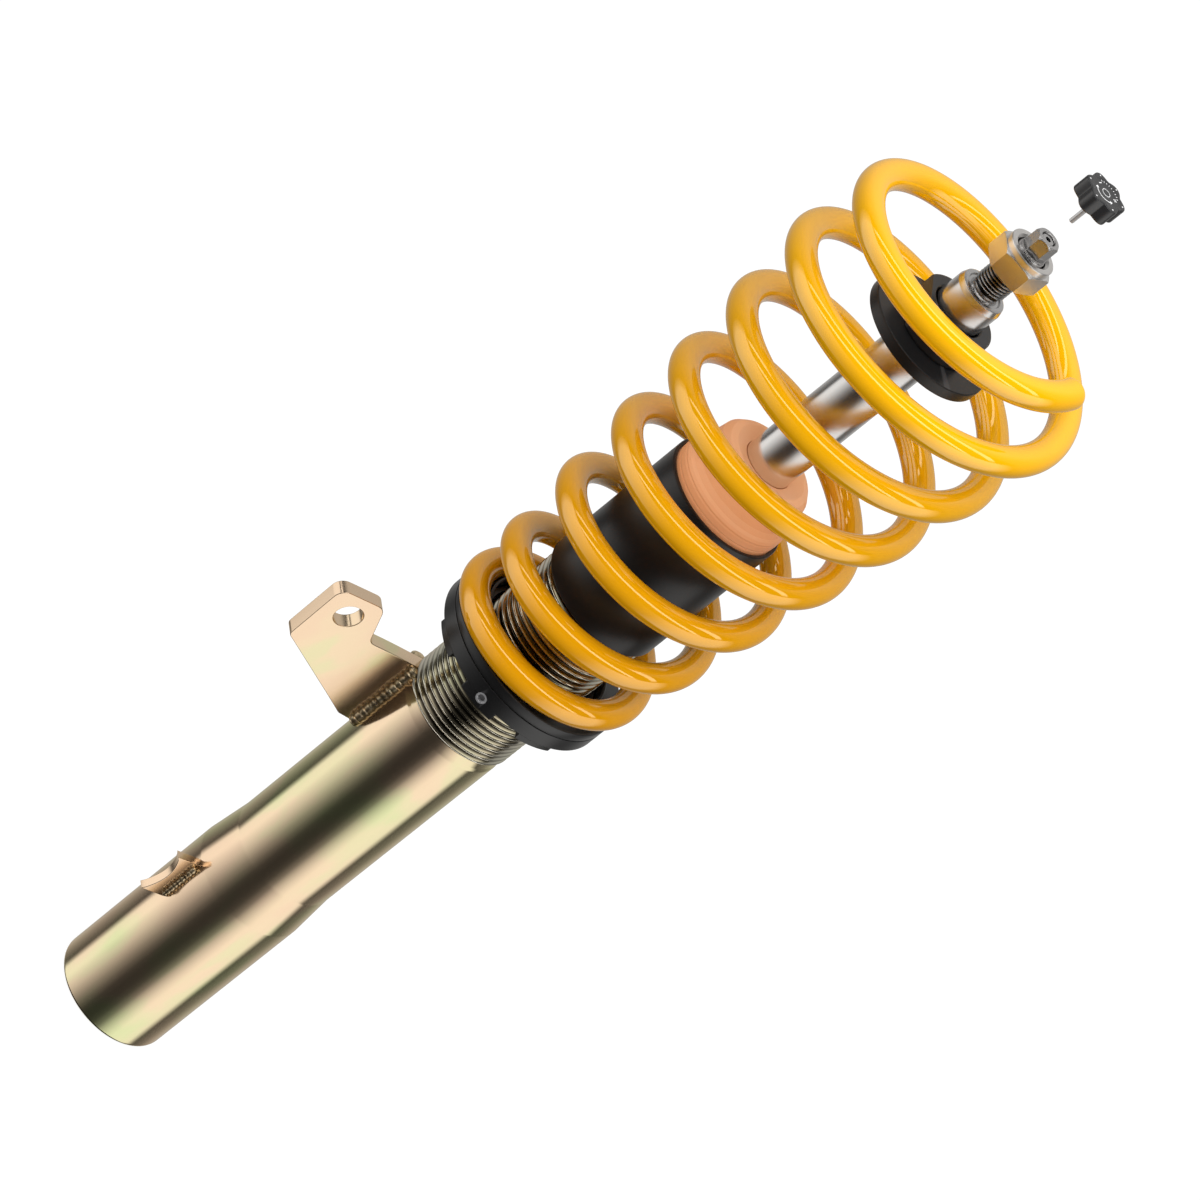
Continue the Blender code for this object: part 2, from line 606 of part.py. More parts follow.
# ---------------------------------------------------------------- rod and piston
rod = turned("piston_rod", [
    (ROD_BORE_R, ROD_TOP - 0.2), (ROD_BORE_R + 0.2, ROD_TOP), (4.7, ROD_TOP), (5.75, ROD_TOP - 1.1),
    (5.75, 544.2), (5.2, 543.9), (ROD_THREAD_R - 0.6, 543.6), (ROD_THREAD_R, 542.8),
    (ROD_THREAD_R, 521.6), (6.0, 521.2), (6.0, ROD_SHOULDER_Z + 1.4), (9.9, ROD_SHOULDER_Z + 1.4),
    (ROD_R, ROD_SHOULDER_Z - 1.0),
    (ROD_R, 486.9), (10.4, 486.8), (10.4, 484.5), (ROD_R, 484.4),
    (ROD_R, 322.8), (10.3, 322.7), (10.3, 319.6), (ROD_R, 319.5),
    (ROD_R, STEM_TOP + 0.6), (ROD_R - 0.6, STEM_TOP), (STEM_R, STEM_TOP), (STEM_R, STEM_BOTTOM + 0.8),
    (STEM_R - 0.8, STEM_BOTTOM), (2.2, STEM_BOTTOM), (2.2, 272.0), (ROD_BORE_R, 272.8)],
    "chrome", ROD, steps=22)
hexring = turned("rod_hex_ring", [(0, 556), (9, 556), (9, 544.6), (0, 544.6)], steps=24, solid=True)
cut(hexring, prism("rod_hex_core", ROD_HEX_AF, 543, 558, ROD_HEX_CORNER))
cut(rod, hexring, rod_along("bleed_hole", 1.5, (-14, 0, 299.4), (14, 0, 299.4), 12))

PISTON_BOTTOM, PISTON_TOP = 279.4, 293.4
piston = turned("piston", [
    (6.2, PISTON_TOP), (16.8, PISTON_TOP), (17.3, PISTON_TOP - 0.5), (17.3, 289.4), (16.1, 289.4),
    (16.1, 283.4), (17.3, 283.4), (17.3, PISTON_BOTTOM + 0.5), (16.8, PISTON_BOTTOM), (6.2, PISTON_BOTTOM)],
    "sinter", ROD, steps=20)
cut(piston, *[rod_along("piston_port_%d" % k, 1.8, polar(11, 60 * k + 7, 277), polar(11, 60 * k + 7, 296), 8)
              for k in range(6)])
turned("piston_ring", [(16.35, 289.1), (17.8, 289.1), (17.8, 283.7), (16.35, 283.7)], "ptfe", BAND, steps=24)
turned("compression_shims", [(6.2, 295.7), (8.5, 295.7), (8.5, 294.9), (13.5, 294.9), (13.5, 293.7),
                             (6.2, 293.7)], "shim", ROD, steps=20)
turned("rebound_shims", [(6.2, 279.1), (14.5, 279.1), (14.5, 278.1), (9.5, 278.1), (9.5, 277.1),
                         (6.2, 277.1)], "shim", ROD, steps=20)
cut(prism("piston_nut", 17.0, 270.4, 276.8, 15, mat="steel", parent=ROD),
    bore_tool("piston_nut_bore", 6.25, 269, 278, 20))

turned("rebound_stop", [(11.3, 335.7), (15.6, 335.7), (16.4, 334.6), (15.9, 329.5), (16.4, 324.4), (15.6, 323.2),
                        (11.3, 323.2)], "rubber", ROD, steps=24)
turned("rebound_stop_ring", [(10.5, 322.5), (15.4, 322.5), (15.4, 319.8), (10.5, 319.8)], "steel", ROD, steps=24)

# ---------------------------------------------------------------- upper stack on the rod
STACK_BORE = 11.5
turned("stop_retaining_ring", [(10.6, 486.6), (13.2, 486.6), (13.2, 484.7), (10.6, 484.7)],
       "black_metal", ROD, steps=24)
turned("stop_plate", [(STACK_BORE, 492.1), (28.1, 492.1), (28.4, 491.8), (28.4, 487.6), (27.9, STACK_BOTTOM),
                      (STACK_BORE, STACK_BOTTOM)], "black", ROD, steps=36)
stop_collar = turned("stop_collar", [(STACK_BORE + 0.3, 506.3), (16.3, 506.3), (17.3, 505.3), (17.3, 492.4),
                                     (STACK_BORE, 492.4), (STACK_BORE, 506.0)], "black_metal", ROD, steps=32)
cut(stop_collar, block("stop_collar_flat", (8, 40, 20), polar(14.1 + 4.0, 204.7, 499.4), 204.7))

# ---------------------------------------------------------------- top nut
nut = prism("top_nut", NUT_AF, NUT_BOTTOM, NUT_TOP - 3.0, NUT_CORNER, mat="nut", parent=ROD)
shape = turned("nut_chamfer", [(0, 548), (6.0, 548), (10.9, NUT_TOP - 2.6), (13.6, NUT_TOP - 4.3), (13.6, NUT_BOTTOM + 1.0),
                               (11.0, NUT_BOTTOM - 0.4), (0, NUT_BOTTOM - 0.4)], steps=24, solid=True)
cut(nut, shape, how='INTERSECT')
cut(nut, turned("nut_top_ring", [(0, NUT_TOP), (9.9, NUT_TOP), (10.6, NUT_TOP - 0.7), (10.6, NUT_TOP - 4.0),
                                 (0, NUT_TOP - 4.0)], steps=24, solid=True), how='UNION')
cut(nut, bore_tool("nut_bore", ROD_THREAD_R + 0.3, 530, 549, 24))

# ---------------------------------------------------------------- rebound adjuster
SPINDLE_TOP = 553.5
spindle = turned("adjuster_spindle", [
    (0, SPINDLE_TOP), (2.5, SPINDLE_TOP), (2.85, SPINDLE_TOP - 0.35), (2.85, 318.6), (2.1, 318.6), (2.1, 316.2),
    (2.85, 316.2), (2.85, 308.0), (0, 308.0)], "brass", ADJUSTER, steps=16, solid=True)
SOCKET_AF, KEY_AF = 2.4, 2.0
cut(spindle, prism("spindle_socket", SOCKET_AF, 542.4, 556, KNOB_LOBE_AT))
cut(spindle, block("spindle_tongue", (1.4, 4.2, 5.6), (0, 0, 306.2), 0), how='UNION')
bpy.ops.mesh.primitive_torus_add(major_segments=16, minor_segments=6, major_radius=2.62 * MM,
                                 minor_radius=0.45 * MM, location=(0, 0, 317.4 * MM))
oring = bpy.context.object
oring.name = "spindle_o_ring"
for c_ in list(oring.users_collection):
    c_.objects.unlink(oring)
place(oring, "rubber", ADJUSTER)
oring.location = (0, 0, 317.4 * MM)

needle = turned("metering_needle", [
    (0, 306.4), (2.85, 306.4), (2.85, 301.2), (2.0, 300.4), (2.0, 279.0), (0.6, 271.2), (0, 271.2)],
    "brass", NEEDLE, steps=16, solid=True)
cut(needle, block("needle_slot", (2.0, 8.0, 8.0), (0, 0, 305.7), 0))

# ---------------------------------------------------------------- adjuster knob
lobes = []
for k in range(48):
    az = 360.0 * k / 48
    wave = 0.5 + 0.5 * math.cos(rad(KNOB_LOBES * (az - KNOB_LOBE_AT)))
    r = KNOB_VALLEY_R + (KNOB_R - KNOB_VALLEY_R) * wave ** 0.75
    lobes.append(polar(r, az)[:2])
knob_mesh = outline_mesh("adjuster_knob", lobes, (KNOB_TOP - KNOB_BOTTOM) / 2)
bm = bmesh.new()
bm.from_mesh(knob_mesh)
bmesh.ops.translate(bm, verts=bm.verts, vec=(0, 0, (KNOB_TOP + KNOB_BOTTOM) / 2 * MM))
bm.to_mesh(knob_mesh)
bm.free()
knob = place(bpy.data.objects.new("adjuster_knob", knob_mesh), "black", KNOB)
cut(knob, bore_tool("knob_hole", 1.4, KNOB_BOTTOM - 1, 581.0, 16),
    turned("knob_recess", [(0, KNOB_BOTTOM + 2.4), (6.2, KNOB_BOTTOM + 2.4), (6.4, KNOB_BOTTOM - 1), (0, KNOB_BOTTOM - 1)],
           steps=24, solid=True))
prism("knob_hex_key", KEY_AF, KEY_BOTTOM, 580.7, KNOB_LOBE_AT, mat="steel", parent=KNOB)
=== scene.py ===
"""The coilover's looks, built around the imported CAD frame.

Lengths below are in millimetres unless they say otherwise, +Z runs up the strut
and the camera stands on the -Y side.
"""
import json
import math

import bmesh
import bpy
import numpy as np
from mathutils import Matrix, Vector


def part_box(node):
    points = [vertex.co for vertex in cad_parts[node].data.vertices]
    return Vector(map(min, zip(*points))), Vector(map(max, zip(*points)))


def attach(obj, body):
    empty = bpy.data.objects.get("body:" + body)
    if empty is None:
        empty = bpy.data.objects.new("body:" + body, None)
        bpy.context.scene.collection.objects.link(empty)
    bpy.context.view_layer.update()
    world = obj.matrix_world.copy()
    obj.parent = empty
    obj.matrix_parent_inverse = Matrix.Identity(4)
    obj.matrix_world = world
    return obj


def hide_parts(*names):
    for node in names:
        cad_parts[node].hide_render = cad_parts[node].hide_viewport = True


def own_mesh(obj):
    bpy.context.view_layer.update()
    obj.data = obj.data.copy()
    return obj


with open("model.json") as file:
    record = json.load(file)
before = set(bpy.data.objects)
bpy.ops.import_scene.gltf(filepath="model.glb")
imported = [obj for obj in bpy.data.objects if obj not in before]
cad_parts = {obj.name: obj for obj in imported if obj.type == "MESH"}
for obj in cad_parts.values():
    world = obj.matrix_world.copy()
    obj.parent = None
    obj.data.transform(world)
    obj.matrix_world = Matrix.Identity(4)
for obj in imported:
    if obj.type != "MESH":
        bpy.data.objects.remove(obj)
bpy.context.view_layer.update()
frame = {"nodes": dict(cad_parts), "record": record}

MM = 0.001
rad = math.radians


def box_mm(node):
    lo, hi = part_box(node)
    return lo / MM, hi / MM


# ------------------------------------------------------------------ node helpers
def N(tree, kind, inputs=None, **attrs):
    n = tree.nodes.new(kind)
    for k, v in attrs.items():
        setattr(n, k, v)
    for k, v in (inputs or {}).items():
        put(tree, n.inputs[k], v)
    return n


def put(tree, socket, v):
    if isinstance(v, bpy.types.NodeSocket):
        tree.links.new(v, socket)
    elif isinstance(v, bpy.types.Node):
        tree.links.new(v.outputs[0], socket)
    else:
        socket.default_value = v


def M(tree, op, a, b=0.0, c=None, clamp=False):
    n = tree.nodes.new("ShaderNodeMath")
    n.operation = op
    n.use_clamp = clamp
    put(tree, n.inputs[0], a)
    put(tree, n.inputs[1], b)
    if c is not None:
        put(tree, n.inputs[2], c)
    return n.outputs[0]


def step(tree, x, lo, hi, a=0.0, b=1.0):
    """Smooth step of x between lo and hi, from a to b."""
    n = tree.nodes.new("ShaderNodeMapRange")
    n.interpolation_type = 'SMOOTHSTEP'
    put(tree, n.inputs["Value"], x)
    for k, v in (("From Min", lo), ("From Max", hi), ("To Min", a), ("To Max", b)):
        n.inputs[k].default_value = v
    return n.outputs["Result"]


def ramp(tree, fac, stops, interp='LINEAR'):
    n = tree.nodes.new("ShaderNodeValToRGB")
    n.color_ramp.interpolation = interp
    els = n.color_ramp.elements
    while len(els) > 1:
        els.remove(els[-1])
    for i, (p, c) in enumerate(stops):
        e = els[0] if i == 0 else els.new(p)
        e.position = p
        e.color = (*c, 1.0) if isinstance(c, tuple) else (c, c, c, 1.0)
    put(tree, n.inputs["Fac"], fac)
    return n.outputs["Color"]


def mix_rgb(tree, fac, a, b, blend='MIX'):
    n = tree.nodes.new("ShaderNodeMix")
    n.data_type = 'RGBA'
    n.blend_type = blend
    put(tree, n.inputs[0], fac)
    for sock, v in ((n.inputs[6], a), (n.inputs[7], b)):
        if isinstance(v, tuple):
            v = (*v, 1.0)
        put(tree, sock, v)
    return n.outputs[2]


def new_mat(name):
    m = bpy.data.materials.new(name)
    m.use_nodes = True
    t = m.node_tree
    return m, t, t.nodes["Principled BSDF"]


def coords(t, scale=(1, 1, 1), rot=(0, 0, 0)):
    tc = t.nodes.new("ShaderNodeTexCoord")
    mp = t.nodes.new("ShaderNodeMapping")
    mp.inputs["Scale"].default_value = scale
    mp.inputs["Rotation"].default_value = rot
    t.links.new(tc.outputs["Object"], mp.inputs["Vector"])
    return mp.outputs["Vector"]


def noise(t, scale, detail=3.0, vec=None, rough=0.5, distortion=0.0):
    n = N(t, "ShaderNodeTexNoise", {"Scale": scale, "Detail": detail, "Roughness": rough,
                                    "Distortion": distortion,
                                    "Vector": vec if vec is not None else coords(t)})
    return n.outputs["Fac"]


def bump(t, height, strength, distance=0.001, normal=None):
    n = N(t, "ShaderNodeBump", {"Strength": strength, "Distance": distance, "Height": height})
    if normal is not None:
        t.links.new(normal, n.inputs["Normal"])
    return n.outputs["Normal"]


def set_in(t, b, **kw):
    for k, v in kw.items():
        if isinstance(v, tuple) and len(v) == 3 and k.replace("_", " ") in ("Base Color", "Coat Tint", "Specular Tint",
                                                                           "Sheen Tint", "Emission Color"):
            v = (*v, 1.0)
        put(t, b.inputs[k.replace("_", " ")], v)


# ------------------------------------------------------------------ materials
def thread_root_shade(t, low, high):
    """Mask for painted shade in a thread's roots: 1 at the root and 0 at its crest, from the distance to the axis (mm).
    """
    tc = t.nodes.new("ShaderNodeTexCoord")
    sep = N(t, "ShaderNodeSeparateXYZ", {"Vector": tc.outputs["Object"]})
    r2 = M(t, 'ADD', M(t, 'MULTIPLY', sep.outputs["X"], sep.outputs["X"]),
           M(t, 'MULTIPLY', sep.outputs["Y"], sep.outputs["Y"]))
    return step(t, M(t, 'MULTIPLY', M(t, 'SQRT', r2), 1000.0), low, high, 1.0, 0.0)


def plated_metal(name, dark=1.0, rough=0.13, grain=0.012, tint_shift=0.0, root=None, pale=0.0):
    """Yellow zinc passivate: cream gold that drifts to pink and to green."""
    m, t, b = new_mat(name)
    slow = noise(t, 1.0, 2.0, coords(t, (26, 26, 13)), 0.45, 0.6)
    patch = noise(t, 1.0, 3.0, coords(t, (75, 75, 30)), 0.55)
    hue = M(t, 'ADD', M(t, 'MULTIPLY', slow, 1.5), M(t, 'MULTIPLY', patch, 0.35))
    hue = M(t, 'ADD', hue, -0.42 + tint_shift, clamp=True)
    col = ramp(t, hue, [(0.28, (0.985, 0.745, 0.535)), (0.44, (0.985, 0.785, 0.545)),
                        (0.56, (0.90, 0.83, 0.52)), (0.70, (0.79, 0.85, 0.47))], 'EASE')
    # painted reflection: toward the silhouette the colour is mixed to a darker brown, standing in for the dim surround
    # reflected at grazing angles
    lw = N(t, "ShaderNodeLayerWeight", {"Blend": 0.35})
    edge = M(t, 'MULTIPLY', lw.outputs["Facing"], 0.55, clamp=True)
    col = mix_rgb(t, edge, col, (0.80, 0.66, 0.50))
    col = mix_rgb(t, pale, col, (0.88, 0.87, 0.78))
    col = mix_rgb(t, 1.0, col, (dark, dark * 0.99, dark * 0.97), 'MULTIPLY')
    # painted shade: the thread roots are darkened to near black, standing in for the shade inside the grooves
    if root is not None:
        col = mix_rgb(t, thread_root_shade(t, *root), col, (0.035, 0.028, 0.020))
    set_in(t, b, Base_Color=col, Metallic=1.0,
           Roughness=M(t, 'MULTIPLY_ADD', noise(t, 1.0, 4.0, coords(t, (220, 220, 60))), 0.06, rough - 0.03),
           Specular_Tint=(0.95, 0.9, 0.8))
    fine = noise(t, 1.0, 2.0, coords(t, (900, 900, 90)))
    wave = noise(t, 1.0, 1.0, coords(t, (60, 60, 12)))
    t.links.new(bump(t, wave, 0.06, 0.0006, bump(t, fine, grain, 0.0002)), b.inputs["Normal"])
    return m


def weld_metal(name):
    m, t, b = new_mat(name)
    n = noise(t, 1.0, 4.0, coords(t, (500, 500, 500)))
    col = ramp(t, noise(t, 1.0, 3.0, coords(t, (160, 160, 240))),
               [(0.3, (0.66, 0.50, 0.30)), (0.5, (0.90, 0.72, 0.47)), (0.7, (0.76, 0.68, 0.44))])
    # painted shade: the hollows between the ripples, where pointiness is low, are darkened to brown-black
    ge = t.nodes.new("ShaderNodeNewGeometry")
    low = step(t, ge.outputs["Pointiness"], 0.44, 0.515)
    col = mix_rgb(t, low, (0.28, 0.20, 0.11), col)
    set_in(t, b, Base_Color=col, Metallic=1.0, Roughness=M(t, 'MULTIPLY_ADD', n, 0.2, 0.2))
    t.links.new(bump(t, n, 0.25, 0.0003), b.inputs["Normal"])
    return m


def spring_paint():
    """Gloss powder coat over spring steel: body colour, a faint orange peel and a bright gloss skin."""
    m, t, b = new_mat("gloss_yellow_powder_coat")
    depth = noise(t, 1.0, 3.0, coords(t, (60, 60, 60)))
    # painted light: the body colour turns lighter and yellower towards the top of the spring, as if the upper coils
    # were lit more
    tc = t.nodes.new("ShaderNodeTexCoord")
    sep = N(t, "ShaderNodeSeparateXYZ", {"Vector": tc.outputs["Object"]})
    up = step(t, sep.outputs["Z"], 0.27, 0.53)
    body = mix_rgb(t, up, (0.98, 0.430, 0.0015), (1.0, 0.500, 0.0015))
    body = mix_rgb(t, M(t, 'MULTIPLY', depth, 0.10), body, (0.72, 0.28, 0.001))
    peel = noise(t, 1.0, 1.5, coords(t, (420, 420, 420)))
    set_in(t, b, Base_Color=body, IOR=2.6, Specular_Tint=(1.0, 0.86, 0.56),
           Roughness=M(t, 'MULTIPLY_ADD', depth, 0.02, 0.025))
    t.links.new(bump(t, peel, 0.006, 0.0005), b.inputs["Normal"])
    return m


def black_finish(name, base=0.016, rough=0.4, peel=0.05, scale=1400, metallic=0.0, tint=(1, 1, 1.08), spec=0.5):
    m, t, b = new_mat(name)
    n = noise(t, 1.0, 3.0, coords(t, (scale,) * 3))
    big = noise(t, 1.0, 3.0, coords(t, (90, 90, 90)))
    c0 = tuple(base * k * 0.8 for k in tint)
    c1 = tuple(base * k * 1.3 for k in tint)
    col = mix_rgb(t, big, c0, c1)
    # Convex edges, found by pointiness, are lightened to dark grey: partly edge wear and partly a painted highlight
    # along the edges
    ge = t.nodes.new("ShaderNodeNewGeometry")
    edge_wear_and_highlight = step(t, ge.outputs["Pointiness"], 0.53, 0.60, 0.0, 0.35)
    col = mix_rgb(t, edge_wear_and_highlight, col, (0.075, 0.075, 0.078))
    set_in(t, b, Base_Color=col, Metallic=metallic,
           Roughness=M(t, 'MULTIPLY_ADD', big, 0.10, rough - 0.05))
    b.inputs["Specular IOR Level"].default_value = spec
    t.links.new(bump(t, n, peel, 0.0003), b.inputs["Normal"])
    return m


def foam_skin():
    m, t, b = new_mat("bump_stop_foam_skin")
    cells = N(t, "ShaderNodeTexVoronoi", {"Scale": 1.0, "Vector": coords(t, (1300,) * 3)}).outputs["Distance"]
    soft = noise(t, 1.0, 3.0, coords(t, (55, 55, 40)))
    col = mix_rgb(t, soft, (0.98, 0.455, 0.195), (1.0, 0.53, 0.26))
    col = mix_rgb(t, step(t, cells, 0.0, 0.35, 0.10, 0.0), col, (0.55, 0.17, 0.06))
    # painted light: up-facing surfaces are mixed to a lighter orange, as if lit from above
    ge = t.nodes.new("ShaderNodeNewGeometry")
    sn = N(t, "ShaderNodeSeparateXYZ", {"Vector": ge.outputs["Normal"]})
    col = mix_rgb(t, step(t, sn.outputs["Z"], 0.1, 0.9, 0.0, 0.6), col, (1.0, 0.62, 0.36))
    # painted light: a faint orange emission makes the foam glow, though it is no lamp
    set_in(t, b, Base_Color=col, Roughness=0.42, Emission_Color=(1.0, 0.44, 0.22), Emission_Strength=0.10)
    b.inputs["Specular IOR Level"].default_value = 0.4
    t.links.new(bump(t, cells, 0.05, 0.0004), b.inputs["Normal"])
    return m


def bright_metal(name, col=(0.62, 0.62, 0.64), rough=0.12, lines=0.02, axis_scale=(30, 30, 2500), vary=0.05, root=None):
    """Turned or ground bright metal: fine lines round the axis and a slow tone drift."""
    m, t, b = new_mat(name)
    ring = noise(t, 1.0, 2.0, coords(t, axis_scale))
    slow = noise(t, 1.0, 2.0, coords(t, (60, 60, 60)))
    c = mix_rgb(t, slow, tuple(v * (1 - vary) for v in col), tuple(min(1, v * (1 + vary)) for v in col))
    # painted shade: the thread roots are darkened to near black, standing in for the shade inside the grooves
    if root is not None:
        c = mix_rgb(t, thread_root_shade(t, *root), c, (0.02, 0.02, 0.02))
    set_in(t, b, Base_Color=c, Metallic=1.0, Roughness=M(t, 'MULTIPLY_ADD', ring, 0.08, rough - 0.04))
    t.links.new(bump(t, ring, lines, 0.0002), b.inputs["Normal"])
    return m


def plain_proc(name, col, rough, metal=0.0, scale=700, strength=0.05):
    m, t, b = new_mat(name)
    n = noise(t, 1.0, 3.0, coords(t, (scale,) * 3))
    c = mix_rgb(t, n, tuple(v * 0.85 for v in col), tuple(min(1, v * 1.12) for v in col))
    set_in(t, b, Base_Color=c, Metallic=metal, Roughness=M(t, 'MULTIPLY_ADD', n, 0.12, rough - 0.06))
    t.links.new(bump(t, n, strength, 0.0002), b.inputs["Normal"])
    return m


PLATED = plated_metal("yellow_zinc_tube")
PLATED_THREAD = plated_metal("yellow_zinc_thread", dark=0.92, rough=0.12, root=(24.45, 25.55), pale=0.8)
PLATED_BRACKET = plated_metal("yellow_zinc_bracket", dark=1.0, rough=0.17, tint_shift=-0.25)
WELD = weld_metal("plated_weld_bead")
PAINT = spring_paint()
ANODISED = black_finish("black_anodised", base=0.0055, rough=0.32, peel=0.03, scale=2200, spec=0.75)
COATED = black_finish("black_powder_coat", base=0.010, rough=0.33, peel=0.06, scale=700)
COATED_PLATE = black_finish("black_coated_plate", base=0.007, rough=0.33, peel=0.05, scale=900)
OXIDE = black_finish("black_oxide_collar", base=0.010, rough=0.38, peel=0.03, scale=1800, spec=0.7)
KNOB_SIDE = black_finish("knob_black", base=0.017, rough=0.28, peel=0.04, scale=1800, spec=0.8)
FOAM = foam_skin()
CHROME = bright_metal("ground_hard_chrome", (0.76, 0.75, 0.74), 0.19, 0.012, (25, 25, 1500))
ROD_END = bright_metal("machined_rod_end", (0.66, 0.65, 0.65), 0.27, 0.002, (60, 60, 400))
ROD_THREAD = bright_metal("cut_rod_thread", (0.50, 0.50, 0.50), 0.2, 0.03, (300, 300, 300), 0.05, (6.1, 6.75))
NUT = bright_metal("bright_zinc_nut", (0.92, 0.90, 0.88), 0.30, 0.002, (150, 150, 150), 0.03)
STEEL = bright_metal("fine_turned_steel", (0.55, 0.55, 0.56), 0.3, 0.05)
SCREW = plain_proc("screw_rim", (0.36, 0.36, 0.37), 0.35, 0.35, 900, 0.02)
PRINT = plain_proc("white_pad_print", (0.80, 0.80, 0.80), 0.55, 0.0, 3000, 0.02)
RUBBER = plain_proc("seal_rubber", (0.02, 0.02, 0.02), 0.6)
SINTER = plain_proc("sintered_steel", (0.30, 0.30, 0.31), 0.5, 1.0, 1500, 0.15)
BRONZE = plain_proc("bush_bronze", (0.5, 0.33, 0.15), 0.4, 1.0)
BRASS = plain_proc("turned_brass", (0.7, 0.52, 0.22), 0.3, 1.0)
PTFE = plain_proc("filled_ptfe", (0.25, 0.2, 0.15), 0.5)
NYLON = plain_proc("natural_nylon", (0.8, 0.78, 0.7), 0.5)
SHIM = plain_proc("spring_steel_shim", (0.5, 0.52, 0.56), 0.25, 1.0)

SLOT_MATS = {
    "plated_steel": PLATED, "weld_metal": WELD, "machined_steel": STEEL, "rod_chrome": CHROME, "nut_zinc": NUT,
    "black_coating": COATED, "black_anodise": ANODISED, "spring_paint": PAINT, "bump_foam": FOAM,
    "seal_rubber": RUBBER, "sintered_steel": SINTER, "bush_bronze": BRONZE, "needle_brass": BRASS,
    "ring_ptfe": PTFE, "pad_nylon": NYLON, "screw_black": SCREW, "shim_steel": SHIM,
}
for sub in frame["record"]["subparts"]:
    ob = frame["nodes"][sub["node"]]
    for s in ob.material_slots:
        s.material = SLOT_MATS[sub["material_slot"]]
    for f in ob.data.polygons:
        f.use_smooth = False

# ------------------------------------------------------------------ mesh helpers


def polar(r, az, z=0.0):
    return (r * math.cos(rad(az)), r * math.sin(rad(az)), z)


def finish_mesh(name, verts, faces, sharp=40.0, recalc=True):
    me = bpy.data.meshes.new(name)
    me.from_pydata([[c * MM for c in v] for v in verts], [], faces)
    bm = bmesh.new()
    bm.from_mesh(me)
    if recalc:
        bmesh.ops.recalc_face_normals(bm, faces=bm.faces)
    for f in bm.faces:
        f.smooth = True
    bm.to_mesh(me)
    bm.free()
    if sharp:
        me.set_sharp_from_angle(angle=rad(sharp))
    ob = bpy.data.objects.new(name, me)
    bpy.context.scene.collection.objects.link(ob)
    return ob


def rings_mesh(name, rings, closed=True, caps=False, sharp=40.0):
    """Rings of equal length joined by quads; closed joins the last ring to the first."""
    n = len(rings[0])
    verts = [p for r in rings for p in r]
    faces = []
    count = len(rings)
    for i in range(count if closed else count - 1):
        a, b = i * n, ((i + 1) % count) * n
        for j in range(n):
            k = (j + 1) % n
            faces.append((a + j, b + j, b + k, a + k))
    if caps:
        faces.append(tuple(range(n)))
        faces.append(tuple(range((count - 1) * n, count * n))[::-1])
    return finish_mesh(name, verts, faces, sharp)


def soft(profile, r=0.3, closed=True, n=5, radii=None, support=0.12):
    """Rounds the corners of an (r, z) profile, and puts a support point beside each
    rounding so that the flats shade flat.  Points on the axis stay."""
    out = []
    m = len(profile)
    for i, p in enumerate(profile):
        want = r if radii is None else radii.get(i, r)
        if (not closed and i in (0, m - 1)) or want <= 0 or p[0] < 1e-6:
            out.append(tuple(p))
            continue
        P = Vector(p)
        A = Vector(profile[i - 1]) - P
        B = Vector(profile[(i + 1) % m]) - P
        la, lb = A.length, B.length
        if la < 1e-6 or lb < 1e-6:
            out.append(tuple(p))
            continue
        A.normalize()
        B.normalize()
        ang = A.angle(B)
        if ang > rad(176):
            out.append(tuple(p))
            continue
        d = min(want / math.tan(ang / 2), 0.45 * la, 0.45 * lb)
        if la > 2.4 * d + 3 * support and la > 1.0:
            out.append(tuple(P + A * (d + support)))
        for k in range(n + 1):
            s = k / n
            q = (P + A * d) * (1 - s) ** 2 + P * (2 * s * (1 - s)) + (P + B * d) * s * s
            out.append((q.x, q.y))
        if lb > 2.4 * d + 3 * support and lb > 1.0:
            out.append(tuple(P + B * (d + support)))
    return out


def lathe(name, profile, steps=128, sharp=40.0, solid=False):
    verts, faces, rows = [], [], []
    for r, z in profile:
        if solid and r < 1e-6:
            rows.append([len(verts)] * steps)
            verts.append((0, 0, z))
        else:
            rows.append(list(range(len(verts), len(verts) + steps)))
            verts += [polar(r, 360.0 * k / steps, z) for k in range(steps)]
    pairs = list(zip(rows, rows[1:]))
    if not solid:
        pairs.append((rows[-1], rows[0]))
    for a, b in pairs:
        for k in range(steps):
            q = [a[k], b[k], b[(k + 1) % steps], a[(k + 1) % steps]]
            q = [v for i, v in enumerate(q) if v not in q[:i]]
            if len(q) > 2:
                faces.append(tuple(q))
    return finish_mesh(name, verts, faces, sharp)


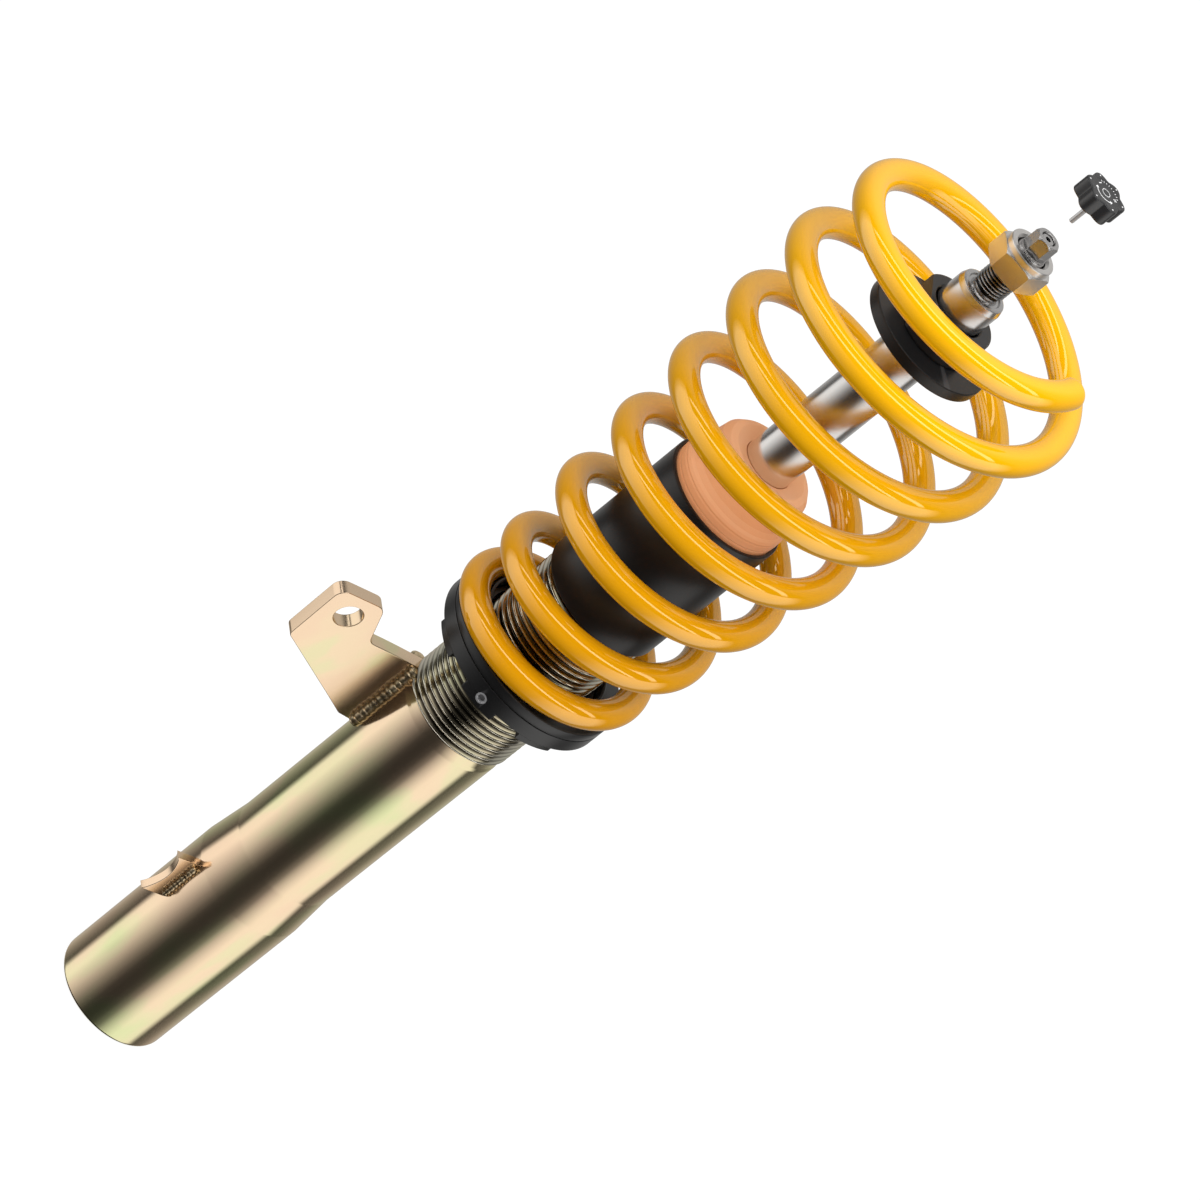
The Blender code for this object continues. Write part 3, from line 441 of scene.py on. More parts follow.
def threaded(name, low, high, z0, turns, pitch, cols, per, radius, sharp=38.0):
    """Plain rings, a right-hand thread whose rows of points follow the helix, and plain
    rings again.  radius(z, phase, turn) gives the thread's own shape."""
    verts, faces = [], []

    def ring(r, z):
        o = len(verts)
        verts.extend(polar(r, 360.0 * k / cols, z) for k in range(cols))
        return [o + k for k in range(cols)] + [o]

    lows = [ring(r, z) for r, z in low]
    last = turns * per
    ids = {}
    for k in range(cols):
        for i in range(last + (per if k == 0 else 0) + 1):
            z = z0 + pitch * (i / per + k / cols)
            ids[k, i] = len(verts)
            verts.append(polar(radius(z, (i % per) / per, i // per + k / cols), 360.0 * k / cols, z))

    def at(k, i):
        return ids[0, i + per] if k == cols else ids[k, i]

    highs = [ring(r, z) for r, z in high]
    for group in (lows, highs, [highs[-1], lows[0]]):
        for a, b in zip(group, group[1:]):
            faces += [(a[k], a[k + 1], b[k + 1], b[k]) for k in range(cols)]
    for k in range(cols):
        faces.append((lows[-1][k], lows[-1][k + 1], at(k + 1, 0), at(k, 0)))
        faces.append((at(k, last), at(k + 1, last), highs[0][k + 1], highs[0][k]))
        for i in range(last):
            faces.append((at(k, i), at(k + 1, i), at(k + 1, i + 1), at(k, i + 1)))
    faces.append(tuple([lows[-1][0]] + [ids[0, i] for i in range(per + 1)]))
    faces.append(tuple([highs[0][0]] + [ids[0, last + i] for i in range(per, -1, -1)]))
    return finish_mesh(name, verts, faces, sharp)


def tool_box(name, size, centre, az=0.0):
    bm = bmesh.new()
    bmesh.ops.create_cube(bm, size=1.0)
    bmesh.ops.scale(bm, vec=[s * MM for s in size], verts=bm.verts)
    bmesh.ops.transform(bm, verts=bm.verts, matrix=Matrix.Translation(Vector(centre) * MM)
                        @ Matrix.Rotation(rad(az), 4, 'Z'))
    me = bpy.data.meshes.new(name)
    bm.to_mesh(me)
    bm.free()
    ob = bpy.data.objects.new(name, me)
    bpy.context.scene.collection.objects.link(ob)
    return ob


def tool_prism(name, af, z0, z1, corner_az, sides=6, matrix=None):
    r = af / 2 / math.cos(math.pi / sides)
    low = [polar(r, corner_az + 360.0 * k / sides, z0) for k in range(sides)]
    high = [polar(r, corner_az + 360.0 * k / sides, z1) for k in range(sides)]
    ob = rings_mesh(name, [low, high], closed=False, caps=True, sharp=30)
    if matrix is not None:
        ob.data.transform(matrix)
    return ob


def tool_rod(name, r, a, b, segments=64):
    a, b = Vector(a), Vector(b)
    q = (b - a).to_track_quat('Z', 'Y').to_matrix().to_4x4()
    ring = [Vector(polar(r, 360.0 * k / segments, 0)) for k in range(segments)]
    lo = [tuple(a + (q @ v)) for v in ring]
    hi = [tuple(b + (q @ v)) for v in ring]
    return rings_mesh(name, [lo, hi], closed=False, caps=True, sharp=30)


def boolean(ob, tools, how='DIFFERENCE', sharp=30.0):
    """Cuts, joins or intersects in turn and keeps the result as the object's own mesh."""
    for tl in tools:
        m = ob.modifiers.new("bool", 'BOOLEAN')
        m.operation = how
        m.solver = 'EXACT'
        m.object = tl
    dg = bpy.context.evaluated_depsgraph_get()
    me = bpy.data.meshes.new_from_object(ob.evaluated_get(dg))
    ob.modifiers.clear()
    old = ob.data
    ob.data = me
    bpy.data.meshes.remove(old)
    for tl in tools:
        d = tl.data
        bpy.data.objects.remove(tl, do_unlink=True)
        bpy.data.meshes.remove(d)
    bm = bmesh.new()
    bm.from_mesh(me)
    bmesh.ops.remove_doubles(bm, verts=bm.verts, dist=0.000002)
    bmesh.ops.dissolve_degenerate(bm, edges=bm.edges, dist=0.000002)
    for f in bm.faces:
        f.smooth = True
    bm.to_mesh(me)
    bm.free()
    me.set_sharp_from_angle(angle=rad(sharp))
    return ob


def bevel(ob, width, segments=2, angle=35.0):
    b = ob.modifiers.new("edge", 'BEVEL')
    b.width = width * MM
    b.segments = segments
    b.limit_method = 'ANGLE'
    b.angle_limit = rad(angle)
    b.use_clamp_overlap = True
    b.harden_normals = False
    w = ob.modifiers.new("shade", 'WEIGHTED_NORMAL')
    w.keep_sharp = False
    w.weight = 90
    return ob


def piece(ob, mat, body, slot, *nodes):
    ob.data.materials.clear()
    ob.data.materials.append(mat)
    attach(ob, body)
    if nodes:
        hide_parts(*nodes)
    return ob


# ------------------------------------------------------------------ housing tube
CLAMP_R, BODY_R, CREST_R = 27.5, 25.7, 26.25
ROOT_R, PITCH = 24.45, 3.0
HOUSING_TOP = box_mm("housing_tube")[1].z
BORE = 22.6


def housing():
    cols = 128
    foot = [(BORE, 0.0), (CLAMP_R - 1.25, 0.0), (CLAMP_R - 0.85, 0.05), (CLAMP_R - 0.45, 0.25), (CLAMP_R - 0.18, 0.6),
            (CLAMP_R - 0.04, 1.1), (CLAMP_R, 1.6), (CLAMP_R, 2.0)]
    plain = foot + [(CLAMP_R, 20.0), (CLAMP_R, 45.0), (CLAMP_R, 70.0), (CLAMP_R, 90.0), (CLAMP_R, 90.6),
                    (CLAMP_R, 91.0), (CLAMP_R - 0.04, 91.4),
                    (BODY_R + 0.04, 112.6), (BODY_R, 113.0), (BODY_R, 113.4), (BODY_R, 114.0),
                    (BODY_R, 140.0), (BODY_R, 170.0), (BODY_R, 200.0), (BODY_R, 216.6), (BODY_R, 217.0),
                    (BODY_R - 0.08, 217.3), (BODY_R - 0.48, 218.4), (BODY_R - 0.55, 218.7), (BODY_R - 0.55, 218.95)]
    def shape(z, p, turn):
        base = ROOT_R + (BODY_R - 0.55 - ROOT_R) * min(max(1.0 - (z - 219.3) / 1.2, 0.0), 1.0)
        grow = min(max(turn / 0.35, 0.0), 1.0)
        return base + (CREST_R - base) * (0.5 - 0.5 * math.cos(2 * math.pi * p)) ** 1.6 * grow

    tail = [(CREST_R - 0.9, 313.2), (CREST_R - 0.9, HOUSING_TOP - 0.9), (CREST_R - 1.6, HOUSING_TOP - 0.1),
            (BORE, HOUSING_TOP - 0.1)]
    return threaded("threaded_housing_tube", plain, tail, 219.0, 30, PITCH, cols, 16, shape)


tube = housing()
piece(tube, PLATED, "housing", "plated_steel", "housing_tube")
tube.data.materials.append(PLATED_THREAD)
for f in tube.data.polygons:
    if f.center.z > 0.2205:
        f.material_index = 1

cap = frame["nodes"]["base_cap"]
cap.modifiers.new("edge", 'BEVEL').width = 0.0004
cap.modifiers["edge"].segments = 3
cap.modifiers["edge"].limit_method = 'ANGLE'

# ------------------------------------------------------------------ link bracket
PLATE_T = 6.5
PLATE_P0 = Vector((-24.0, -9.2, 0))
PLATE_DIR, PLATE_BEND, BEND_S, BEND_W = 219.3, 3.7, 17.0, 7.0


def plate_point(s, q, z):
    """s along the plate, q behind its front face, z up; the bend turns over a short arc."""
    d0 = Vector(polar(1, PLATE_DIR))
    base = PLATE_P0.copy()
    if s <= BEND_S - BEND_W:
        d, base = d0, base + d0 * s
    elif s >= BEND_S + BEND_W:
        d = Vector(polar(1, PLATE_DIR + PLATE_BEND))
        base = base + d0 * BEND_S + d * (s - BEND_S)
    else:
        u = (s - BEND_S + BEND_W) / (2 * BEND_W)
        d1 = Vector(polar(1, PLATE_DIR + PLATE_BEND))
        A = base + d0 * (BEND_S - BEND_W)
        P = base + d0 * BEND_S
        B = P + d1 * BEND_W
        base = A * (1 - u) ** 2 + P * (2 * u * (1 - u)) + B * u * u
        d = Vector(polar(1, PLATE_DIR + PLATE_BEND * u))
    n = Vector((d.y, -d.x, 0)) * -1
    n = Vector((-d.y, d.x, 0))
    return base - n * q + Vector((0, 0, z))


def rounded(points, radii, n=6):
    out = []
    for i, (p, r) in enumerate(zip(points, radii)):
        P = Vector(p)
        a = (Vector(points[i - 1]) - P).normalized()
        b = (Vector(points[(i + 1) % len(points)]) - P).normalized()
        if r <= 0:
            out.append(tuple(p))
            continue
        half = a.angle(b) / 2
        d = r / math.tan(half)
        c = P + (a + b).normalized() * (r / math.sin(half))
        t0, t1 = P + a * d - c, P + b * d - c
        turn = t0.angle_signed(t1)
        for k in range(n + 1):
            ang = -turn * k / n
            out.append((c.x + t0.x * math.cos(ang) - t0.y * math.sin(ang),
                        c.y + t0.x * math.sin(ang) + t0.y * math.cos(ang)))
    return out


def flat_plate(name, outline, holes, half, edge):
    """Filled outline with round holes, extruded, its edges rounded by edge mm."""
    cu = bpy.data.curves.new(name, 'CURVE')
    cu.dimensions = '2D'
    cu.fill_mode = 'BOTH'
    cu.extrude = (half - edge) * MM
    cu.bevel_depth = edge * MM
    cu.bevel_resolution = 3
    cu.offset = -edge * MM
    loops = [outline] + [[(cx + r * math.cos(2 * math.pi * k / 56), cy + r * math.sin(2 * math.pi * k / 56))
                          for k in range(56)] for cx, cy, r in holes]
    for loop in loops:
        sp = cu.splines.new('POLY')
        sp.points.add(len(loop) - 1)
        for p, (x, y) in zip(sp.points, loop):
            p.co = (x * MM, y * MM, 0, 1)
        sp.use_cyclic_u = True
    ob = bpy.data.objects.new(name, cu)
    bpy.context.scene.collection.objects.link(ob)
    dg = bpy.context.evaluated_depsgraph_get()
    me = bpy.data.meshes.new_from_object(ob.evaluated_get(dg))
    bpy.data.objects.remove(ob, do_unlink=True)
    bm = bmesh.new()
    bm.from_mesh(me)
    bmesh.ops.remove_doubles(bm, verts=bm.verts, dist=0.000004)
    bmesh.ops.dissolve_limit(bm, angle_limit=rad(0.5), verts=bm.verts, edges=bm.edges)
    bm.to_mesh(me)
    bm.free()
    me.name = name
    return me


def shade(me, sharp=30.0):
    bm = bmesh.new()
    bm.from_mesh(me)
    bmesh.ops.recalc_face_normals(bm, faces=bm.faces)
    for f in bm.faces:
        f.smooth = True
    bm.to_mesh(me)
    bm.free()
    me.set_sharp_from_angle(angle=rad(sharp))


outline = rounded(
    [(-2.0, 225.0), (26.2, 225.0), (34.6, 244.2), (57.0, 244.2), (57.0, 211.8), (53.0, 209.7), (8.5, 185.0),
     (-2.0, 184.5)],
    [0, 4.5, 5.0, 4.8, 3.2, 2.0, 3.0, 0])
me = flat_plate("bracket_plate", outline, [(44.0, 232.9, 6.1)], PLATE_T / 2, 0.35)
bm = bmesh.new()
bm.from_mesh(me)
for s in [-1.0, 0.5, 2.0, 5.0, 8.0, 9.9] + [10.0 + 1.0 * k for k in range(15)] + [24.1, 28.0, 33.0]:
    bmesh.ops.bisect_plane(bm, geom=bm.verts[:] + bm.edges[:] + bm.faces[:], dist=1e-7,
                           plane_co=(s * MM, 0, 0), plane_no=(1, 0, 0))
for v in bm.verts:
    s, z, q = v.co.x / MM, v.co.y / MM, PLATE_T / 2 - v.co.z / MM
    if s < 0.6:                      # the root is coped to the tube
        lo, hi = -20.0, 12.0
        for _ in range(40):
            mid = (lo + hi) / 2
            p = plate_point(mid, q, z)
            if math.hypot(p.x, p.y) > BODY_R - 0.1:
                hi = mid
            else:
                lo = mid
        s = max(s, -20.0) if s > hi else hi
        s = hi + max(0.0, s + 2.0) * 0.1
    v.co = plate_point(s, q, z) * MM
bm.to_mesh(me)
bm.free()
shade(me, 28)
bracket = bpy.data.objects.new("drop_link_bracket", me)
bpy.context.scene.collection.objects.link(bracket)
wn = bracket.modifiers.new("shade", 'WEIGHTED_NORMAL')
wn.keep_sharp = True
piece(bracket, PLATED_BRACKET, "housing", "plated_steel", "link_bracket")


def weld_bead(name, foot, z0, z1, r, pitch, away, height=0.5, swell=0.5):
    """A stack-of-dimes bead up a corner: each ripple is a tilted crescent that
    overlaps the one below.  away is the azimuth the bead bulges towards."""
    cols = 40
    rings = []
    steps = int((z1 - z0) / (pitch / 12))
    for i in range(steps + 1):
        z = z0 + (z1 - z0) * i / steps
        ring = []
        end = min(z - z0, z1 - z)
        body = r * (min(1.0, 0.72 + end * 0.22)) if i else r * 0.72
        for k in range(cols):
            a = 360.0 * k / cols
            off = ((a - away + 180) % 360 - 180) / 90.0
            sag = 0.85 * off * off
            wob = 0.22 * math.sin(z * 0.9 + 1.3) + 0.12 * math.sin(z * 2.3)
            ph = ((z + sag + wob) / pitch) % 1.0
            saw = (ph / 0.78) if ph < 0.78 else 1 - (ph - 0.78) / 0.22
            rr = body + height * (saw ** 0.7 - 0.5) + swell * 0.25 * math.sin(z * 0.37)
            ring.append((foot[0] + rr * math.cos(rad(a)), foot[1] + rr * math.sin(rad(a)), z))
        rings.append(ring)
    return rings_mesh(name, rings, closed=False, caps=True, sharp=50)


foot = plate_point(0.6, -0.7, 0)
piece(weld_bead("bracket_weld_bead_front", foot, 184.9, 224.4, 2.75, 3.0, 280.0, 0.62), WELD, "housing", "weld_metal",
      "link_bracket_weld_front")
foot = plate_point(-1.8, PLATE_T + 1.0, 0)
piece(weld_bead("bracket_weld_bead_rear", foot, 184.8, 224.2, 3.6, 2.7, 160.0, 0.6), WELD, "housing", "weld_metal",
      "link_bracket_weld_rear")

# ------------------------------------------------------------------ locating tab
TAB_AZ, TAB_BOTTOM, TAB_TOP, TAB_OUT, TAB_T, TAB_DISH = 225.0, 65.0, 89.0, 38.5, 4.0, 4.2
pts = [(26.9, TAB_BOTTOM), (TAB_OUT, TAB_BOTTOM)]
for k in range(1, 17):
    u = k / 17
    pts.append((TAB_OUT - TAB_DISH * math.sin(math.pi * u) ** 0.8, TAB_BOTTOM + (TAB_TOP - TAB_BOTTOM) * u))
pts += [(TAB_OUT, TAB_TOP), (26.9, TAB_TOP)]
me = flat_plate("tab_plate", pts, [], TAB_T / 2, 0.3)
c, s = math.cos(rad(TAB_AZ)), math.sin(rad(TAB_AZ))
for v in me.vertices:
    r, z, q = v.co.x, v.co.y, v.co.z
    v.co = (r * c - q * s, r * s + q * c, z)
shade(me, 28)
tab = bpy.data.objects.new("knuckle_locating_tab", me)
bpy.context.scene.collection.objects.link(tab)
wn = tab.modifiers.new("shade", 'WEIGHTED_NORMAL')
wn.keep_sharp = True
piece(tab, PLATED_BRACKET, "housing", "plated_steel", "locating_tab")
q = TAB_T / 2 + 0.6
foot = (28.1 * c - q * s, 28.1 * s + q * c)
piece(weld_bead("tab_weld_bead", foot, TAB_BOTTOM + 2.0, TAB_TOP - 1.6, 1.55, 2.3, 270.0, 0.42, 0.2), WELD, "housing",
      "weld_metal", "locating_tab_weld")

# ------------------------------------------------------------------ coil spring
WIRE_R, SPRING_START, SPRING_END, SPRING_Z0, SPRING_R0 = 6.25, 70.0, 2867.0, 272.6, 38.4
PITCH_STATIONS = ((165, 0.0), (215, 22.0), (350, 22.0), (530, 36.5), (2540, 36.5), (2620, 27.5), (2869, 27.5))
GROWTH_STATIONS = ((150, 0.0), (560, 3.85), (2500, 3.85), (2640, -13.0), (2869, -13.0))


def station(table, turn):
    if turn <= table[0][0]:
        return table[0][1]
    for (a0, v0), (a1, v1) in zip(table, table[1:]):
        if turn <= a1:
            return v0 + (v1 - v0) * (turn - a0) / (a1 - a0)
    return table[-1][1]


def spring_path(h):
    out = []
    z, r, a = SPRING_Z0, SPRING_R0, SPRING_START
    count = int(round((SPRING_END - SPRING_START) / h))
    h = (SPRING_END - SPRING_START) / count
    for k in range(count + 1):
        out.append((a, r, z))
        z += station(PITCH_STATIONS, a + h / 2) * h / 360
        r += station(GROWTH_STATIONS, a + h / 2) * h / 360
        a += h
    return out


def wire_spring():
    path = spring_path(2.5)
    # the stations meet at corners; a running mean rounds them off
    rr = np.array([p[1] for p in path])
    zz = np.array([p[2] for p in path])
    k = 9
    kern = np.ones(2 * k + 1) / (2 * k + 1)
    for arr in (rr, zz):
        pad = np.concatenate([2 * arr[0] - arr[k:0:-1], arr, 2 * arr[-1] - arr[-2:-k - 2:-1]])
        arr[:] = np.convolve(pad, kern, 'valid')
    pts = np.array([polar(r, a, z) for (a, _, _), r, z in zip(path, rr, zz)])
    tan = np.gradient(pts, axis=0)
    tan /= np.linalg.norm(tan, axis=1)[:, None]
    seg = 48
    rings = []

    def ring(i, radius, shift=0.0):
        a = path[i][0]
        e = np.array([math.cos(rad(a)), math.sin(rad(a)), 0.0])
        t = tan[i]
        nrm = e - (e @ t) * t
        nrm /= np.linalg.norm(nrm)
        bi = np.cross(t, nrm)
        return [tuple(pts[i] + t * shift + radius * (math.cos(2 * math.pi * j / seg) * nrm
                                                     + math.sin(2 * math.pi * j / seg) * bi)) for j in range(seg)]

    rings.append(ring(0, WIRE_R - 0.7, 0.0))
    rings.append(ring(0, WIRE_R - 0.2, 0.12))
    rings.append(ring(0, WIRE_R, 0.6))
    for i in range(1, len(path) - 1):
        rings.append(ring(i, WIRE_R))
    rings.append(ring(len(path) - 1, WIRE_R, -0.6))
    rings.append(ring(len(path) - 1, WIRE_R - 0.2, -0.12))
    rings.append(ring(len(path) - 1, WIRE_R - 0.7, 0.0))
    return rings_mesh("painted_coil_spring", rings, closed=False, caps=True, sharp=60)


spring = wire_spring()
piece(spring, PAINT, "seat", "spring_paint", "coil_spring")

# ------------------------------------------------------------------ spring seat
TROUGH_R, HUB_R, SEAT_TOP, SEAT_SEAM, SEAT_R = WIRE_R + 0.45, 29.9, 270.5, 266.0, 41.5
FINE = spring_path(1.0)


def wire_at(turn):
    i = int(min(max(turn - SPRING_START, 0), len(FINE) - 1))
    return FINE[i][1:]


def seat_section(az, grooved):
    turn = az if az >= SPRING_START else az + 360
    rc, zc = wire_at(turn)
    pts = [(HUB_R, 262.0), (39.2, 262.0), (39.2, SEAT_SEAM + 0.02), (SEAT_R - 0.4, SEAT_SEAM + 0.02),
           (SEAT_R - 0.12, SEAT_SEAM + 0.12), (SEAT_R, SEAT_SEAM + 0.4)]
    floor = []
    for b in [31 - 5.5 * k for k in range(20)]:
        r = SPRING_R0 + TROUGH_R * math.sin(rad(b))
        z = SEAT_TOP
        if grooved:
            dd = r - rc
            z = min(SEAT_TOP, zc - math.sqrt(max(TROUGH_R ** 2 - dd * dd, 0.0)))
        floor.append((r, z))
    edge = floor[0][1]
    top = max(edge, SEAT_SEAM + 1.2)
    pts += [(SEAT_R, top - 0.55), (SEAT_R - 0.05, top - 0.3), (SEAT_R - 0.2, top - 0.1), (SEAT_R - 0.42, top)]
    floor = [(min(r, SEAT_R - 0.5), z) for r, z in floor]
    pts += floor
    pts += [(31.45, min(SEAT_TOP, max(floor[-1][1], zc - 3.0)) if grooved else SEAT_TOP), (31.3, 273.9),
            (31.15, 274.3), (30.8, 274.5), (30.3, 274.5), (30.0, 274.4), (HUB_R, 274.1)]
    return pts


def seat_rings():
    rings = []
    a = SPRING_START - 2.0
    first = a
    rings.append((a - 0.4, False))
    while a < first + 359.0:
        g = (SPRING_START - 2.5) < a < 262
        rings.append((a, g))
        a += 2.5
    return [[polar(r, az, z) for r, z in seat_section(max(az % 360, SPRING_START) if g else az % 360, g)]
            for az, g in rings]


seat = rings_mesh("spring_seat_ring", seat_rings(), closed=True, sharp=35)
piece(seat, ANODISED, "seat", "black_anodise", "spring_seat")

# ------------------------------------------------------------------ adjusting collar
BAND_BOTTOM, TAB_RING_R, COLLAR_BOTTOM = 258.9, 39.0, 254.3
NOTCHES, NOTCH_WIDTH, NOTCH_FLOOR_R = 8, 12.7, 31.8
LUG_AZ, LUG_WIDTH, LUG_BOTTOM, LOCK_Z = 271.1, 17.2, 255.1, 259.2

collar = lathe("adjusting_collar_ring", soft([
    (27.3, 269.6), (29.5, 269.6), (29.5, 261.6), (39.7, 261.6), (39.7, SEAT_SEAM - 0.2),
    (SEAT_R, SEAT_SEAM - 0.2), (SEAT_R, BAND_BOTTOM), (TAB_RING_R, BAND_BOTTOM), (TAB_RING_R, COLLAR_BOTTOM),
    (27.3, COLLAR_BOTTOM), (CREST_R + 0.25, COLLAR_BOTTOM + 1.0), (CREST_R + 0.25, 268.6)], 0.3,
    radii={5: 0.25, 6: 0.45, 7: 0.12, 8: 0.35, 9: 0.3}), steps=160)
lug = tool_box("lug", (8.0, LUG_WIDTH, 261.0 - LUG_BOTTOM), polar(38.2, LUG_AZ, (261.0 + LUG_BOTTOM) / 2), LUG_AZ)
boolean(lug, [lathe("lug_trim", [(SEAT_R - 0.06, 264), (48, 264), (48, 252), (SEAT_R - 0.06, 252)], steps=240)])
boolean(collar, [lug], 'UNION')
boolean(collar, [tool_box("notch_%d" % k, (30, NOTCH_WIDTH, 10),
                          polar(NOTCH_FLOOR_R + 15, LUG_AZ + 22.5 + 45 * k, BAND_BOTTOM - 5),
                          LUG_AZ + 22.5 + 45 * k) for k in range(NOTCHES)]
        + [tool_rod("lock_hole", 2.55, polar(24, LUG_AZ, LOCK_Z), polar(46, LUG_AZ, LOCK_Z), 40)])
bevel(collar, 0.22, 2, 50)
piece(collar, ANODISED, "collar", "black_anodise", "adjusting_collar")

q_lock = (Matrix.Translation(Vector(polar(0, LUG_AZ, LOCK_Z)) * MM)
          @ Vector(polar(1, LUG_AZ)).to_track_quat('Z', 'Y').to_matrix().to_4x4())
screw = lathe("lock_grub_screw", soft([(0, 41.25), (1.55, 41.25), (1.75, 41.45), (2.45, 41.45), (2.45, 31.8),
                                       (0, 31.8)], 0.12), steps=48, solid=True)
boolean(screw, [tool_prism("lock_socket", 3.0, 38.4, 45.0, 10)])
screw.data.transform(q_lock)
piece(screw, SCREW, "collar", "screw_black", "collar_lock_screw")

# ------------------------------------------------------------------ bump stop and its cup
CUP_R, CUP_BOTTOM, CUP_TOP, BUMP_TOP = 28.0, 307.0, 378.4, 403.4
cup = lathe("bump_stop_sleeve", soft([
    (26.6, CUP_TOP), (CUP_R, CUP_TOP), (CUP_R, CUP_BOTTOM), (CREST_R + 0.45, CUP_BOTTOM), (CREST_R + 0.45, 362.4),
    (13.0, 362.4), (13.0, 365.9), (26.6, 365.9)], 0.3, radii={0: 0.25, 1: 0.7, 2: 0.9, 3: 0.3}), steps=144)
piece(cup, COATED, "housing", "black_coating", "bump_stop_cup")

foam_profile = soft([
    (11.2, BUMP_TOP - 1.95), (12.4, BUMP_TOP - 1.65), (14.6, BUMP_TOP - 0.85), (17.4, BUMP_TOP), (20.2, BUMP_TOP - 0.9),
    (22.6, BUMP_TOP - 4.0), (23.3, BUMP_TOP - 9.5), (23.9, 389.2), (24.9, 386.7), (25.7, 385.5), (26.25, 384.3),
    (26.1, 383.6), (26.35, 382.9), (26.4, 380.8), (26.15, 380.2), (26.3, 379.6), (26.2, 378.0), (26.1, 366.2),
    (11.2, 366.2)], 1.2, radii={0: 0.25, 1: 0.8, 10: 0.3, 11: 0.15, 12: 0.25, 13: 0.25, 14: 0.15, 15: 0.2, 17: 0.3,
                                18: 0.3})
foam = lathe("foam_bump_stop", foam_profile, steps=128, sharp=60)
piece(foam, FOAM, "housing", "bump_foam", "bump_stop")

# ------------------------------------------------------------------ rod, thread and hexagon
ROD_R, SHOULDER, ROD_TOP = 11.0, 518.6, 554.0
HEX_AZ, HEX_AF = -113.3, 10.0


def rod():
    cols = 96
    low = soft([(3.2, 300.0), (10.4, 300.0), (ROD_R, 301.0), (ROD_R, 517.2), (10.2, 519.7), (9.5, 520.0), (8.2, 520.0),
                (7.7, 519.3), (6.7, 519.3), (6.1, 519.9), (6.0, 521.4)], 0.25,
               closed=False, radii={1: 0.3, 3: 0.3, 4: 0.3, 5: 0.2, 6: 0.15, 7: 0.2, 8: 0.2, 9: 0.3})
    high = soft([(6.1, 543.5), (6.6, 543.8), (6.6, 544.6), (6.2, 545.4), (5.95, 545.6), (5.95, ROD_TOP - 1.4), (5.0, ROD_TOP),
                 (3.5, ROD_TOP), (3.2, ROD_TOP - 0.4), (3.2, 540.0)], 0.15, closed=False, n=3)

    def shape(z, p, turn):
        grow = min(max(turn / 0.3, 0.0), 1.0) * min(max((543.3 - z) / 0.8, 0.0), 1.0)
        return 5.95 + 1.0 * (0.5 - 0.5 * math.cos(2 * math.pi * p)) ** 0.9 * grow

    ob = threaded("rod_with_threaded_end", low, high, 521.5, 13, 1.5, cols, 10, shape, 32)
    hexring = lathe("hexring", [(0, 556), (9, 556), (9, 546.3), (0, 546.3)], steps=48, solid=True, sharp=30)
    boolean(hexring, [tool_prism("hexcore", HEX_AF, 544, 558, HEX_AZ)])
    boolean(ob, [hexring], sharp=30)
    return ob


rod_ob = rod()
piece(rod_ob, CHROME, "rod", "rod_chrome", "piston_rod")
rod_ob.data.materials.append(ROD_END)
rod_ob.data.materials.append(ROD_THREAD)
for f in rod_ob.data.polygons:
    if 0.5215 < f.center.z < 0.5433:
        f.material_index = 2
    elif f.center.z > 0.5188:
        f.material_index = 1

# ------------------------------------------------------------------ upper stack
plate = lathe("stop_plate_disc", soft([(11.5, 492.1), (28.4, 492.1), (28.4, 487.1), (11.5, 487.1)], 0.3,
                                      radii={1: 0.55, 2: 0.6}), steps=144)
piece(plate, COATED_PLATE, "rod", "black_coating", "stop_plate")
clip = lathe("retaining_ring", soft([(10.6, 486.6), (13.2, 486.6), (13.2, 484.7), (10.6, 484.7)], 0.25), steps=96)
piece(clip, STEEL, "rod", "machined_steel", "stop_retaining_ring")
collar_up = lathe("stop_collar_turned", soft([(12.2, 506.3), (17.3, 506.3), (17.3, 492.4), (11.5, 492.4), (11.5, 505.6)],
                                             0.3, radii={0: 0.5, 1: 0.9, 2: 0.35}), steps=144)
boolean(collar_up, [tool_box("flat", (8, 40, 20), polar(14.1 + 4.0, 204.7, 499.4), 204.7)])
bevel(collar_up, 0.18, 2, 35)
piece(collar_up, OXIDE, "rod", "black_coating", "stop_collar")

# ------------------------------------------------------------------ top nut
NUT_AF, NUT_BOTTOM, NUT_TOP, NUT_CORNER = 22.0, 533.3, 545.7, -116.8
nut = tool_prism("hex_top_nut", NUT_AF, NUT_BOTTOM, NUT_TOP - 3.0, NUT_CORNER)
shape = lathe("nut_shape", [(0, 548), (6.0, 548), (10.9, NUT_TOP - 2.55), (13.6, NUT_TOP - 4.25), (13.6, NUT_BOTTOM + 1.1),
                            (11.0, NUT_BOTTOM - 0.4), (0, NUT_BOTTOM - 0.4)], steps=144, solid=True)
boolean(nut, [shape], 'INTERSECT')
boolean(nut, [lathe("nut_ring", soft([(0, NUT_TOP), (10.6, NUT_TOP), (10.6, NUT_TOP - 4.0), (0, NUT_TOP - 4.0)], 0.5),
                    steps=144, solid=True)], 'UNION')
boolean(nut, [lathe("nut_bore", [(0, 530), (8.2, 530), (8.2, NUT_BOTTOM + 0.1), (7.2, NUT_BOTTOM + 1.1), (7.2, NUT_TOP - 1.0),
                                 (8.3, NUT_TOP + 0.1), (8.3, 549), (0, 549)], steps=96, solid=True)])
bevel(nut, 0.16, 2, 24)
piece(nut, NUT, "rod", "nut_zinc", "top_nut")

